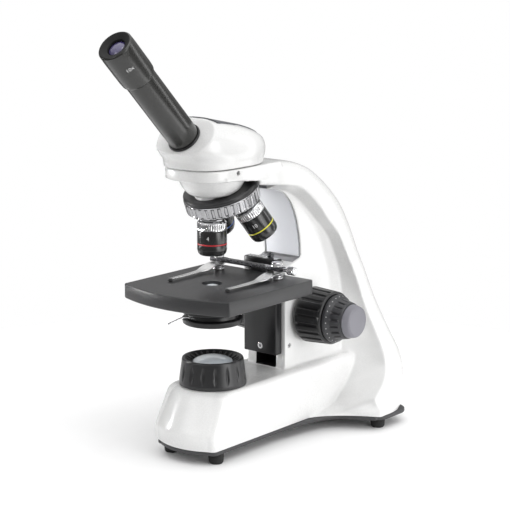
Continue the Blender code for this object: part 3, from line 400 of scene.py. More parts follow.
def rod(name, radius, low, high, at=OPTICAL, sides=48):
    """A plain prism, used to cut round bores and hexagon sockets."""
    turns = [math.tau * k / sides for k in range(sides)]
    return plate(name, [(radius * math.cos(turn), radius * math.sin(turn)) for turn in turns], low, high, at)


def smooth_through(points, steps):
    """A Catmull-Rom curve through points, in any number of dimensions."""
    points = [Vector(point) for point in points]
    ends = [2 * points[0] - points[1], *points, 2 * points[-1] - points[-2]]
    made = []
    for a, b, c, d in zip(ends, ends[1:], ends[2:], ends[3:]):
        for i in range(steps):
            t = i / steps
            made.append(tuple(0.5 * (2 * b + t * (c - a) + t * t * (2 * a - 5 * b + 4 * c - d)
                + t ** 3 * (3 * b - a - 3 * c + d))))
    return [*made, tuple(points[-1])]


def arc(centre, radius, start, end, steps):
    """Points on an arc in the plane, angles in degrees."""
    turns = [math.radians(start + (end - start) * i / steps) for i in range(steps + 1)]
    return [(centre[0] + radius * math.cos(turn), centre[1] + radius * math.sin(turn)) for turn in turns]


def mirrored(half):
    """A closed outline from its right half, which runs from the front centre to the rear centre."""
    return list(half) + [(-x, *rest) for x, *rest in reversed(half) if x > 1e-6]


def offset(points, distance):
    """An open outline moved sideways, to the right of its direction."""
    moved = []
    for i, (y, z) in enumerate(points):
        before, after = points[max(i - 1, 0)], points[min(i + 1, len(points) - 1)]
        along = Vector((after[0] - before[0], after[1] - before[1])).normalized()
        moved.append((y + distance * along.y, z - distance * along.x))
    return moved


def soft_step(value, low, high):
    t = min(1.0, max(0.0, (value - low) / (high - low)))
    return t * t * (3 - 2 * t)


# ---- stand casting

# z, front centre, bow, corner radius, half width
TONGUE_LEVELS = [
    (0.0123, -0.0435, 0.0075, 0.0045, 0.0312), (0.018, -0.0452, 0.0078, 0.0045, 0.0318),
    (0.024, -0.0458, 0.0082, 0.005, 0.032), (0.03, -0.0438, 0.0085, 0.0055, 0.0319),
    (0.04, -0.0395, 0.009, 0.0065, 0.0315), (0.05, -0.035, 0.009, 0.0075, 0.0308),
    (0.054, -0.0329, 0.009, 0.008, 0.0297), (0.0565, -0.03, 0.009, 0.008, 0.0272)]
TONGUE_REAR = 0.158

# crease y and z, y at one and two thirds of the way to the ridge, ridge x, y and z, back y and z, squareness
SPINE_SECTIONS = [
    (0.064, 0.0123, 0.0985, 0.1165, 0.077, 0.1275, 0.0123, 0.1755, 0.0123, 4),
    (0.127, 0.019, 0.1195, 0.1168, 0.0773, 0.1275, 0.019, 0.186, 0.019, 4),
    (0.1337, 0.027, 0.132, 0.1285, 0.0725, 0.126, 0.027, 0.195, 0.027, 4),
    (0.1385, 0.036, 0.143, 0.1465, 0.0655, 0.1485, 0.036, 0.2005, 0.036, 4),
    (0.1415, 0.046, 0.1505, 0.157, 0.0595, 0.1605, 0.046, 0.202, 0.046, 4),
    (0.144, 0.056, 0.155, 0.1615, 0.0545, 0.164, 0.056, 0.2012, 0.056, 4),
    (0.146, 0.068, 0.156, 0.162, 0.0485, 0.165, 0.068, 0.1973, 0.068, 4),
    (0.147, 0.086, 0.154, 0.1585, 0.0425, 0.1605, 0.086, 0.1895, 0.086, 4),
    (0.1466, 0.104, 0.1508, 0.1536, 0.0383, 0.1545, 0.104, 0.1815, 0.104, 4),
    (0.1436, 0.124, 0.1464, 0.148, 0.0352, 0.1482, 0.124, 0.1722, 0.126, 4),
    (0.136, 0.144, 0.1375, 0.1382, 0.0333, 0.1375, 0.145, 0.162, 0.147, 4),
    (0.1245, 0.163, 0.1262, 0.127, 0.032, 0.127, 0.164, 0.153, 0.1665, 4.2),
    (0.106, 0.18, 0.1085, 0.1105, 0.0314, 0.113, 0.179, 0.141, 0.187, 4.4),
    (0.096, 0.188, 0.098, 0.0995, 0.031, 0.101, 0.1925, 0.1265, 0.202, 4.6),
    (0.082, 0.199, 0.084, 0.086, 0.031, 0.088, 0.2035, 0.109, 0.2155, 5),
    (0.068, 0.2065, 0.07, 0.0715, 0.031, 0.0735, 0.2115, 0.089, 0.2268, 5.5),
    (0.05, 0.211, 0.05, 0.05, 0.031, 0.05, 0.216, 0.064, 0.2333, 6),
    (0.024, 0.214, 0.024, 0.024, 0.0305, 0.024, 0.2195, 0.024, 0.2339, 6)]
SPINE_INNER_X = 0.019
FOOT_LINE = 0.0123
BELOW_FOOT = 0.005  # the casting is drawn down to here and then cut flat at the foot line
WEB_HALF_WIDTH = 0.02
PANEL_HALF_WIDTH = 0.0172
PANEL_THICKNESS = 0.0022
GROOVE = 0.0016
PLATFORM_BOTTOM, PLATFORM_TOP = 0.2255, 0.2347


def front_half(front, bow, radius, half_width):
    """Right half of the base's front: a shallow bow, then a rounded corner."""
    corner_x = half_width - radius
    bowed = [(corner_x * i / 8, front + bow * (i / 8) ** 2) for i in range(9)]
    return bowed[:-1] + arc((corner_x, front + bow + radius), radius, -90, 0, 12)


def spine_ring(section):
    """A section of the spine: a front face between creases and ridges, and a rounded back."""
    (crease_y, crease_z, third_y, two_thirds_y, ridge_x, ridge_y, ridge_z, back_y, back_z, power) = section
    shares = ((0, crease_y), (1 / 3, third_y), (2 / 3, two_thirds_y), (1, ridge_y))
    flank = [(SPINE_INNER_X + (ridge_x - SPINE_INNER_X) * share, y, crease_z + (ridge_z - crease_z) * share)
        for share, y in shares]
    half = [(0.0, crease_y, crease_z), *smooth_through(flank, 5)]
    for i in range(1, 31):
        angle = math.pi / 2 * i / 30
        across = ridge_x * max(0.0, math.cos(angle)) ** (2 / power) if i < 30 else 0.0
        along = math.sin(angle) ** (2 / power)
        half.append((across, ridge_y + (back_y - ridge_y) * along, ridge_z + (back_z - ridge_z) * along))
    return mirrored(half)


def web_front_curve():
    """Front edge of the arm above the ledge, in (y, z), from the ledge up to the nosepiece."""
    return smooth_through([(0.0905, 0.149), (0.0885, 0.167), (0.0838, 0.184), (0.077, 0.1965),
        (0.068, 0.205), (0.057, 0.2098), (0.047, 0.2125)], 8)


def platform_outline():
    """The head platform: a squarish round front, then straight back into the arm."""
    front = [(0.032 * abs(math.sin(a)) ** 0.77, -0.036 * abs(math.cos(a)) ** 0.77)
        for a in (math.radians(3 * i) for i in range(31))]
    return mirrored([*front, (0.0314, 0.016), (0.0309, 0.034), (0.03, 0.052), (0.0, 0.052)])


def panel_outline(clearance, depth, raised=0.0):
    """Side view of the arm's front panel, or of its pocket when the clearance is not zero."""
    front = web_front_curve()[:-5]
    if clearance:
        first, second, before_last, last = (Vector(front[i]) for i in (0, 1, -2, -1))
        first += (first - second).normalized() * clearance
        last += (last - before_last).normalized() * clearance
        front = [tuple(first), *front, tuple(last)]
    return offset(front, -raised) + offset(front, depth)[::-1]


def stand_casting():
    """The white casting: base tongue, spine, web and head platform, melted together with cast fillets."""
    rows = smooth_through(TONGUE_LEVELS, 4)
    rows = [(BELOW_FOOT, *rows[0][1:]), *rows]
    tongue = []
    for z, front, bow, radius, half_width in rows:
        half = front_half(front, bow, radius, half_width)
        half += [(half_width, y) for y in (0.02, 0.06, 0.1, TONGUE_REAR)] + [(0.0, TONGUE_REAR)]
        tongue.append([(x, y, z) for x, y in mirrored(half)])
    sections = smooth_through(SPINE_SECTIONS, 5)
    toe = list(sections[0])
    toe[1] = toe[6] = toe[8] = BELOW_FOOT
    sections = [tuple(toe), *sections]
    web = [(0.15, 0.048), (0.069, 0.048), (0.069, 0.14, 0.002), (0.072, 0.1435, 0.002), *web_front_curve(),
        (0.047, 0.22), (0.09, 0.215), (0.12, 0.185), (0.14, 0.15), (0.156, 0.11), (0.16, 0.08)]
    spine = loft("spine", [spine_ring(section) for section in sections])
    arch = side_plate("arch", [(-0.01, 0.2), (0.0462, 0.2), (0.0462, 0.23), (-0.01, 0.23)], 0.0272)
    combine(spine, [arch])
    platform = plate("platform", platform_outline(), PLATFORM_BOTTOM, PLATFORM_TOP)
    web = side_plate("web", rounded(web, 0.0, closed=True), WEB_HALF_WIDTH)
    stand = merged("stand", [spine, loft("tongue", tongue), platform, *nosepiece_skirts(), web], WHITE)
    cast(stand, 0.001, 6)
    combine(stand, stand_cutters(), overlapping=True)
    shade(stand, 50)
    # Painted shade inside the slot of the arm.
    paint(stand, SLOT_PAINTED_SHADE, in_shaded_slot)
    # Painted shade in the groove round the arm panel.
    paint(stand, GROOVE_PAINTED_SHADE, in_shaded_groove)
    piece(stand, "stand", "white_paint", "stand_casting")


def nosepiece_skirts():
    """The platform's two side walls, which come down a little towards the arm and hide the nosepiece."""
    outline = [(-0.018, 0.2262), (0.0, 0.2246), (0.02, 0.2226), (0.042, 0.22), (0.036, 0.229),
        (-0.018, 0.229)]
    half_thickness = 0.0021
    return [plate(f"skirt_{side}", outline, -half_thickness, half_thickness,
        axis_frame((side * 0.029, 0, 0), ALONG_X)) for side in (-1, 1)]


def behind_front(y, z):
    """How far a point lies behind the front edge of the arm."""
    front = [Vector(point) for point in web_front_curve()]
    nearest = min(front, key=lambda point: (point - Vector((y, z))).length)
    return (Vector((y, z)) - nearest).length


# Faces of the groove round the arm panel, which carry the painted shade.
def in_shaded_groove(place):
    if abs(place.x) > PANEL_HALF_WIDTH + GROOVE - 0.0001 or not 0.146 < place.z < 0.2145 or place.y > 0.1:
        return False
    return behind_front(place.y, place.z) > 0.0006


# Faces inside the slot of the arm, which carry the painted shade.
def in_shaded_slot(place):
    return abs(place.x) < 0.0108 and 0.0605 < place.y < 0.1085 and 0.057 < place.z < 0.1455


def paint(obj, material, inside):
    """Gives a material to the faces whose middle passes a test, in the optical axis frame."""
    obj.data.materials.append(material)
    index = len(obj.data.materials) - 1
    shift = Vector((0, OPTICAL_Y, 0))
    for polygon in obj.data.polygons:
        if inside(polygon.center - shift):
            polygon.material_index = index


def stand_cutters():
    """Everything that is cut or bored in the casting."""
    floor = block("foot_line", (-0.1, -0.1, 0.0), (0.1, 0.25, FOOT_LINE))
    seat = panel_outline(GAP, PANEL_THICKNESS + GAP, 0.004)
    pocket = side_plate("panel_pocket", seat, PANEL_HALF_WIDTH + GAP)
    groove = side_plate("panel_groove", panel_outline(GROOVE, 0.0014, 0.0039), PANEL_HALF_WIDTH + GROOVE)
    slot = block("slot", (-0.0106, 0.06, 0.0575), (0.0106, 0.108, 0.145))
    shaft = rod("shaft_bore", 0.0058, -0.04, 0.04, axis_frame(SHAFT_PLACE, ALONG_X))
    head_bore = rod("head_bore", 0.0163, 0.229, 0.24)
    light_bore = rod("light_bore", 0.0105, 0.22, 0.231)
    lamp_bore = rod("lamp_bore", 0.014, 0.05, 0.06)
    pocket_round = rod("nosepiece_pocket", 0.031, 0.024, 0.048, TURRET_FRAME, 96)
    lock = rod("lock_bore", 0.002, 0.014, 0.034, LOCK_SCREW_FRAME)
    side = rod("side_bore", 0.002, 0.012, 0.022, ARM_SCREW_FRAME)
    dimmer = rod("dimmer_bore", 0.0025, -0.034, -0.02, axis_frame((0, DIMMER_Y, DIMMER_Z), ALONG_X))
    rear = block("rear_pocket", (-0.027, REAR_FACE_Y, 0.026), (0.027, 0.21, 0.046))
    switch = block("switch_window", (-0.0205, 0.186, REAR_FACE_Z - 0.0055),
        (-0.0065, 0.2, REAR_FACE_Z + 0.0055))
    inlet = rod("inlet_window", 0.0052, 0.184, 0.2, INLET_FRAME)
    return [merged("cuts", [floor, pocket, groove, slot, shaft, head_bore, light_bore, lamp_bore,
        pocket_round, lock, side, dimmer, rear, switch, inlet])]


def arm_panel():
    """Grey panel let into the front of the arm."""
    panel = side_plate("arm_panel", panel_outline(0.0, PANEL_THICKNESS), PANEL_HALF_WIDTH, PANEL, 0.0006)
    piece(panel, "stand", "grey_panel", "arm_front_panel")


def plate_outline():
    """Outline of the base plate: bowed front, parallel sides, flared rear feet with round corners."""
    front = front_half(-0.0435, 0.0075, 0.006, 0.031)
    flare = smooth_through([(0.031, 0.045), (0.033, 0.065), (0.036, 0.085), (0.0385, 0.097),
        (0.043, 0.1065), (0.053, 0.1145), (0.065, 0.1205), (0.0735, 0.125)], 6)
    side = 0.078
    corner = arc((side - 0.012, 0.1365), 0.012, -50, 0, 8)
    rear = [(side * math.cos(a) ** 0.5, 0.15 + 0.026 * math.sin(a) ** 0.5)
        for a in (math.radians(3 * i) for i in range(1, 30))]
    return mirrored(front + flare + corner + rear + [(0.0, 0.176)])


def base():
    """Dark plate under the casting, and four turned feet with a rounded sole and a shallow hollow."""
    low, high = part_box("base_plate")
    bottom = plate("plate", plate_outline(), low.z, high.z, OPTICAL, PLATE_PLASTIC, 0.0006)
    piece(bottom, "stand", "black_plastic", "base_plate")
    for corner in ("front_left", "front_right", "rear_left", "rear_right"):
        node = f"foot_{corner}"
        low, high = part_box(node)
        radius, top = (high.x - low.x) / 2, high.z
        at = Matrix.Translation((middle(node).x, middle(node).y, 0))
        foot = turned(f"rubber_{node}", [(0, top), (radius, top), (radius, 0.0072),
            (radius - 0.0005, 0.0066), (radius - 0.0001, 0.006), (radius - 0.0006, 0.001, 0.0008),
            (radius - 0.0014, 0.0), (0.0034, 0.0), (0.003, 0.0012), (0, 0.0012)], at, RUBBER, 48, 0.0003)
        piece(foot, "stand", "rubber", node)


# ---- lamp

def lamp():
    """Fluted lamp housing with a toothed rim, a domed lens and the board under it."""
    low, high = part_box("lamp_housing")
    foot_radius, top_radius = (high.x - low.x) / 2, 0.025
    flutes, depth, broadest = 16, 0.0011, 0.34
    flute_low, flute_high = low.z + 0.0035, high.z - 0.0035

    def fluted(r, z, angle):
        if r < 0.0235 or not flute_low < z < flute_high:
            return r
        rise = (z - flute_low) / (flute_high - flute_low)
        reach = math.sin(math.pi * rise) ** 0.7
        offset_angle = (angle * flutes / math.tau + 0.5) % 1.0 - 0.5
        across = abs(offset_angle) * 2 / max(broadest * reach, 1e-4)
        return r - depth * reach * max(0.0, 1 - across * across)

    housing = turned("lamp_body", [(0.0168, 0.0744), (0.018, 0.0746), (0.0222, high.z - 0.0006, 0.0006),
        (0.0232, high.z, 0.0004), (top_radius - 0.0004, high.z, 0.0008),
        (top_radius, high.z - 0.0012, 0.0006), (foot_radius, low.z + 0.0026, 0.001),
        (foot_radius, low.z + 0.0004, 0.0004), (foot_radius - 0.0004, low.z), (0.024, low.z),
        (0.0225, 0.069), (0.0168, 0.069)], OPTICAL, BLACK_PLASTIC, 384, 0.0004, fluted, 0.0009)
    piece(housing, "stand", "black_plastic", "lamp_housing")
    teeth, half_tooth, inner_top, outer_top = 24, 0.0009, 0.0758, 0.0779
    profile = [(0.0172, 0.0735), (0.0216, 0.0735), (0.0216, outer_top), (0.0172, inner_top)]
    sides = [[(x, y, z) for x, z in profile] for y in (-half_tooth, half_tooth)]
    turns = [Matrix.Rotation(math.tau * (k + 0.5) / teeth, 4, "Z") for k in range(teeth)]
    rim = merged("lamp_rim_teeth", [loft("tooth", sides, OPTICAL @ turn) for turn in turns], BLACK_PLASTIC)
    edges(rim, 0.0003, 2)
    piece(rim, "stand", "black_plastic")
    lens_radius, lens_edge, lens_rise = 0.0164, 0.075, 0.0047
    dome_curve = [(lens_radius * math.sin(a), lens_edge + lens_rise * math.cos(a) ** 1.2)
        for a in (math.radians(7.5 * i) for i in range(1, 12))]
    lens = turned("lamp_dome", [(0, lens_edge + lens_rise), *dome_curve, (lens_radius, lens_edge),
        (lens_radius, 0.0694), (0, 0.0694)], OPTICAL, LAMP_GLASS, 96, 0.0)
    piece(lens, "stand", "glass", "lamp_lens")
    board = turned("led_disc", [(0, 0.0606), (0.018, 0.0606), (0.018, 0.059), (0.012, 0.059),
        (0.012, 0.0522), (0, 0.0522)], OPTICAL, BOARD, 64, 0.0002)
    piece(board, "stand", "circuit_board", "led_board")
    led = turned("led_chip", [(0, 0.0636), (0.0016, 0.0632), (0.0026, 0.0622), (0.0028, 0.0609),
        (0, 0.0609)], OPTICAL, GOLD, 40, 0.0002)
    piece(led, "stand", "circuit_board")


# ---- focus knobs and rack block

def ribs(count, depth, low, high, width, softness, inner, outer=1.0):
    """Relief of grooves that run along a knob between two heights, with soft ends, on the faces between two
    radii."""
    run_out = 0.0012

    def relief(r, z, angle):
        ends = soft_step(z, low, low + run_out) * (1 - soft_step(z, high - run_out, high))
        if ends <= 0 or not inner < r < outer:
            return r
        offset_angle = abs((angle * count / math.tau) % 1.0 - 0.5) * 2
        groove = 1 - soft_step(offset_angle, width - softness, width + softness)
        return r - depth * ends * groove
    return relief


def focus_knobs():
    """Ribbed coarse knobs, with the fine knobs outside them."""
    for name, side in (("left", -1), ("right", 1)):
        at = axis_frame(SHAFT_PLACE, (side, 0, 0))
        inner, outer = 0.0225, 0.05
        grooved = ribs(20, 0.0011, inner + 0.0035, outer - 0.0022, 0.34, 0.12, 0.0212)
        coarse = turned(f"coarse_wheel_{name}", [(0.0058, 0.0482), (0.0195, 0.0482),
            (0.0195, outer - 0.0003), (0.021, outer - 0.0003), (0.0221, outer - 0.0012, 0.0008),
            (0.023, 0.034, 0.002), (0.0235, inner + 0.0028, 0.002), (0.0224, inner + 0.0003, 0.001),
            (0.0212, inner), (0.012, inner), (0.012, inner - 0.0018), (0.0058, inner - 0.0018)], at,
            BLACK_PLASTIC, 320, 0.0004, grooved, 0.0012)
        piece(coarse, "coarse_focus", "black_plastic", f"coarse_knob_{name}")
        fine_knob(name, at)


def fine_knob(name, at):
    """Graduated flange, a ribbed neck and a pale cap."""
    inner, outer = 0.0503, 0.0732
    necked = ribs(18, 0.001, 0.0556, 0.064, 0.26, 0.1, 0.015, 0.0176)
    body = turned(f"fine_wheel_{name}", [(0, 0.066), (0.0145, 0.066), (0.0152, 0.0648),
        (0.017, 0.056, 0.0012), (0.0182, 0.0546, 0.001), (0.0199, 0.053, 0.0006), (0.0203, inner + 0.0006),
        (0.02, inner), (0.019, inner), (0.019, 0.049), (0.0033, 0.049), (0.0033, 0.0605), (0, 0.0605)], at,
        GREY_PLASTIC, 288, 0.0004, necked, 0.0011)
    piece(body, "fine_focus", "grey_plastic", f"fine_knob_{name}")
    cap = turned(f"fine_cap_{name}", [(0, outer), (0.0112, outer, 0.001), (0.013, outer - 0.0012, 0.0016),
        (0.0141, 0.0672, 0.0004), (0.0142, 0.0663), (0, 0.0663)], at, CAP_PLASTIC, 96, 0.0004)
    piece(cap, "fine_focus", "grey_plastic")
    dots = 24
    dot = [(0, 0.00012), (0.00042, 0.0001), (0.00047, 0.0), (0, -0.0002)]
    slope = Matrix.Rotation(math.atan2(0.0016, 0.0017), 4, "Y")
    on_flange = Matrix.Translation((0.01895, 0, 0.05392)) @ slope
    turns = [Matrix.Rotation(math.tau * k / dots, 4, "Z") for k in range(dots)]
    marks = [turned("dot", dot, at @ turn @ on_flange, None, 16, 0.0) for turn in turns]
    piece(merged(f"fine_marks_{name}", marks, WHITE_MARK), "fine_focus", "grey_plastic")


def shafts():
    """The fine shaft is made again; the CAD's pinion and rack stay, in steel."""
    end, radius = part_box("fine_shaft")[1].x, 0.003
    fine = turned("fine_rod", [(0, end), (radius, end), (radius, -end), (0, -end)],
        axis_frame(SHAFT_PLACE, ALONG_X), STEEL, 48, 0.0004)
    piece(fine, "fine_focus", "steel", "fine_shaft")
    for node in ("pinion_shaft", "focus_rack"):
        repaint(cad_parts[node], STEEL)


def rack_block():
    """Black slide with a tongue and a neck into the arm, a bright trim on top and two screws."""
    low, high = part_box("rack_block")
    front, rear = low.y - OPTICAL_Y, 0.069 - 2 * GAP
    neck_low, neck_high = 0.072, 0.1255
    body = block("slide_block", (low.x, front, low.z), (high.x, rear, high.z), OPTICAL, BLACK_PAINT)
    edges(body, 0.0009, 3)
    tongue = block("slide_tongue", (-0.01, rear - 0.002, neck_low), (0.01, 0.08, neck_high))
    neck = block("slide_neck", (-0.0045, 0.078, neck_low), (0.0045, 0.0881, neck_high))
    combine(body, [tongue, neck], "UNION")
    combine(body, [rod("screw_bore", 0.0031, 0.055, 0.064, axis_frame((0, 0, RACK_SCREW_Z), ALONG_Y)),
        rod("stop_bore", 0.0017, 0.144, 0.155, STOP_SCREW_FRAME)])
    piece(body, "focus_slide", "black_paint", "rack_block")
    border = 0.0012
    trim = block("slide_top_trim", (low.x + border, front + border, high.z + 0.00002),
        (high.x - border, rear - border, high.z + 0.0003), OPTICAL, STEEL)
    piece(edges(trim, 0.0001, 1), "focus_slide", "steel")
    socket_screw("slide_screw", axis_frame((0, 0, RACK_SCREW_Z), (0, -1, 0)), -0.0607, -0.0637, 0.0029,
        "focus_slide", "rack_screw")
    stop = turned("slide_stop", [(0, 0.156), (0.0009, 0.1558), (0.0012, 0.1543), (0.0016, 0.1538),
        (0.0027, 0.1536), (0.0027, high.z + 0.0006), (0.0014, high.z + 0.0006), (0.0014, 0.1445),
        (0, 0.1445)], STOP_SCREW_FRAME, DARK_STEEL, 48, 0.0002)
    piece(stop, "focus_slide", "steel", "stop_screw")


def socket_screw(name, at, top, bottom, radius, body, *cad_nodes):
    """A cylinder head screw with a hexagon socket in it, seen along the frame's Z."""
    screw = turned(name, [(0, top), (radius, top, 0.0004), (radius, bottom), (0, bottom)], at, STEEL, 48,
        0.0003)
    combine(screw, [rod(f"{name}_socket", radius * 0.52, (top + bottom) / 2, top + 0.002, at, 6)])
    piece(screw, body, "steel", *cad_nodes)


def set_screws():
    """The two grub screws on the right side."""
    radius = 0.0017
    socket_screw("platform_grub", LOCK_SCREW_FRAME, 0.0309, 0.0175, radius, "stand", "head_lock_screw")
    socket_screw("arm_grub", ARM_SCREW_FRAME, 0.0194, 0.013, radius, "stand", "arm_set_screw")


# ---- stage, clips, condenser

def post_frame(side):
    """Frame of the right or left clip post, at the height of the table."""
    return axis_frame((side * POST_X, POST_Y, 0))


def stage():
    """Black stage plate with a bowed front and a notch for the slide, and the bracket under it."""
    half, front, rear, bow_depth = 0.055, -0.0443, 0.062, 0.012
    front_corner, rear_corner = 0.0016, 0.003
    notch_half, notch_front = 0.0171 + 0.0008, 0.06
    bow = [(half * i / 24, front - bow_depth * (1 - (i / 24) ** 2)) for i in range(24)]
    outline = mirrored([*bow, *arc((half - front_corner, front + 0.0013), front_corner, -70, 0, 4),
        *arc((half - rear_corner, rear - rear_corner), rear_corner, 0, 90, 8),
        (notch_half, rear), (notch_half, notch_front), (0.0, notch_front)])
    top = plate("stage_top", outline, STAGE_BOTTOM, STAGE_TOP, OPTICAL, STAGE_BLACK)
    edges(top, 0.0011, 3, 60)
    combine(top, [rod("aperture", 0.0085, 0.12, 0.15, OPTICAL, 96), *post_holes()])
    piece(top, "stage", "black_paint", "stage_plate")
    low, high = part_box("stage_bracket")
    bracket = block("stage_arm", (low.x, low.y - OPTICAL_Y, low.z), (high.x, high.y - OPTICAL_Y, high.z),
        OPTICAL, BLACK_PAINT, 0.001)
    piece(bracket, "stage", "black_paint", "stage_bracket")


def post_holes():
    return [rod(f"post_hole_{side}", 0.0029, 0.12, 0.16, post_frame(side)) for side in (-1, 1)]


def clips():
    """Two chrome posts with a leaf spring each, and the bar that ties them."""
    post_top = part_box("clip_post_left")[1].z
    for name, side in (("left", -1), ("right", 1)):
        knurl = ribs(28, 0.00028, 0.15, post_top - 0.0004, 0.5, 0.3, 0.0046)
        post = turned(f"post_{name}", [(0, post_top), (0.0041, post_top, 0.0004),
            (0.0048, post_top - 0.0007, 0.0003), (0.0048, 0.15), (0.0026, 0.1499), (0.0026, 0.1433),
            (0.0046, 0.1432), (0.005, 0.1428), (0.005, 0.1416), (0.0044, 0.1411), (0.005, 0.1406),
            (0.005, STAGE_TOP + GAP), (0.0026, STAGE_TOP + GAP), (0.0026, STAGE_TOP - 0.008),
            (0, STAGE_TOP - 0.008)], post_frame(side), CHROME, 168, 0.0002, knurl, 0.0006)
        piece(post, "stage", "chrome", f"clip_post_{name}")
        clip_spring(name, side)
        tip = turned(f"clip_foot_{name}", [(0, 0.0016), (0.0014, 0.0015, 0.0005), (0.0021, 0.0004, 0.0004),
            (0.002, 0.0), (0, 0.0)], axis_frame((side * TIP_X, TIP_Y, STAGE_TOP + GAP)), RUBBER, 40, 0.0002)
        piece(tip, f"clip_{name}", "rubber", f"clip_tip_{name}")
    clip_bar()


def clip_spring(name, side):
    """Leaf spring: an eye round the post, a wide leaf that falls to the stage, then a narrow finger."""
    leaf = [(0.0502, 0.1448, 0.0002), (0.0494, 0.1448, 0.003), (0.047, 0.1448, 0.0055),
        (0.044, 0.1448, 0.0062), (0.04, 0.1448, 0.006), (0.036, 0.1446, 0.0058), (0.03, 0.1434, 0.0057),
        (0.0255, 0.1423, 0.0053), (0.0215, 0.1417, 0.004), (0.017, 0.1415, 0.0029), (0.005, 0.1412, 0.0025),
        (-0.008, 0.1411, 0.0022), (-0.015, 0.1413, 0.002), (-0.0172, 0.1417, 0.0018)]
    thickness = 0.0006
    rings = []
    for y, z, half in smooth_through(leaf, 4):
        x = side * (POST_X - (POST_X - TIP_X) * (POST_Y - y) / (POST_Y - TIP_Y))
        half = max(half, 0.0002)
        bulge = half + 0.0001
        section = [(half, 0.0), (bulge, thickness * 0.3), (bulge, thickness * 0.7), (half, thickness)]
        section += [(-w, h) for w, h in reversed(section)]
        rings.append([(x + w, y, z + h) for w, h in section])
    spring = loft(f"leaf_{name}", rings, OPTICAL, LEAF_STEEL, 50)
    combine(spring, [rod(f"eye_{name}", 0.0029, 0.14, 0.15, post_frame(side))], sharp=50)
    piece(spring, f"clip_{name}", "steel", f"clip_spring_{name}")


def clip_bar():
    """Dark bar that ties the two posts, with broader ends and a knurled thumb screw."""
    low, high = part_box("clip_bar")
    end_half, waist_half = 0.004, 0.0028
    front = [(low.x, end_half), (-0.0245, end_half), (-0.0215, waist_half), (0.0215, waist_half),
        (0.0245, end_half), (high.x, end_half)]
    outline = [(x, POST_Y - half) for x, half in front] + [(x, POST_Y + half) for x, half in reversed(front)]
    bar = plate("post_bar", rounded(outline, 0.0015, 4, True), low.z, high.z, OPTICAL, DARK_STEEL, 0.0007, 3)
    combine(bar, post_holes())
    piece(bar, "stage", "steel", "clip_bar")
    knurl = ribs(24, 0.00022, 0.0432, 0.0494, 0.5, 0.3, 0.0032)
    screw = turned("thumb_screw", [(0, 0.05), (0.0026, 0.05, 0.0004), (0.0034, 0.0494, 0.0004),
        (0.0034, 0.0432), (0.0027, 0.0426), (0.0016, 0.0425), (0.0016, 0.0378), (0, 0.0378)],
        axis_frame((0, POST_Y, 0.148), ALONG_X), STEEL, 144, 0.0002, knurl, 0.0006)
    piece(screw, "bar_screw", "steel", "clip_bar_screw")


def condenser():
    """The condenser's cell, its lens just below the stage, and the iris ring with its lever."""
    top = STAGE_BOTTOM - GAP
    mount = turned("condenser_cell", [(0.009, top), (0.0215, top), (0.0215, 0.1222), (0.0205, 0.1215),
        (0.0238, 0.121, 0.0004), (0.025, 0.1203, 0.0006), (0.025, 0.1168, 0.0006), (0.024, 0.1158),
        (0.009, 0.1158)], OPTICAL, BLACK_PAINT, 96, 0.0003)
    piece(mount, "stage", "black_plastic", "condenser_mount")
    lens = turned("condenser_glass", [(0, STAGE_TOP - 0.0007), (0.003, STAGE_TOP - 0.001),
        (0.0058, STAGE_TOP - 0.0019), (0.0076, STAGE_TOP - 0.0032), (0.0079, STAGE_TOP - 0.0045),
        (0.0079, 0.12), (0.0086, 0.1195), (0.0086, 0.117), (0, 0.117)], OPTICAL, LAMP_GLASS, 96, 0.0002)
    piece(lens, "stage", "glass", "condenser_lens")
    ring = turned("iris_ring", [(0.012, 0.1155), (0.0215, 0.1155), (0.0215, 0.1125),
        (0.0236, 0.1122, 0.0004), (0.0246, 0.1114, 0.0006), (0.024, 0.1078, 0.0006), (0.023, 0.107, 0.0004),
        (0.016, 0.107), (0.015, 0.108), (0.012, 0.1085)], OPTICAL, BLACK_PAINT, 96, 0.0003)
    piece(ring, "stage", "black_plastic", "iris_housing")
    lever_path = [(0.0219, 0.1136, 0.003), (0.0232, 0.1136, 0.0024), (0.025, 0.1136, 0.0013),
        (0.029, 0.1128, 0.0011), (0.033, 0.1115, 0.001), (0.037, 0.1102, 0.0011), (0.0388, 0.1096, 0.0011),
        (0.0392, 0.1095, 0.0008)]
    thickness, rest_turn = 0.0008, math.radians(-23)
    rings = [[(-half, -radius, z), (half, -radius, z), (half, -radius, z + thickness),
        (-half, -radius, z + thickness)] for radius, z, half in smooth_through(lever_path, 3)]
    lever = loft("iris_handle", rings, OPTICAL @ Matrix.Rotation(rest_turn, 4, "Z"), STEEL)
    piece(edges(lever, 0.0002, 2, 60), "iris", "steel", "iris_lever")


# ---- nosepiece and objectives

# turn on the turret in degrees, distance of the front from the apex, ring colour
OBJECTIVES = {"4x": (0.0, 0.0784, RED), "10x": (-120.0, 0.0798, YELLOW), "40x": (120.0, 0.0798, BLUE)}
SEAT = 0.0505
PIVOT_BORE = 0.0034


def objective_frame(turn):
    """Frame of an objective: its origin is the apex and Z points out of its front."""
    direction = Matrix.Rotation(math.radians(turn), 3, TURRET_AXIS) @ Vector((0, 0, -1))
    return axis_frame(APEX, direction)


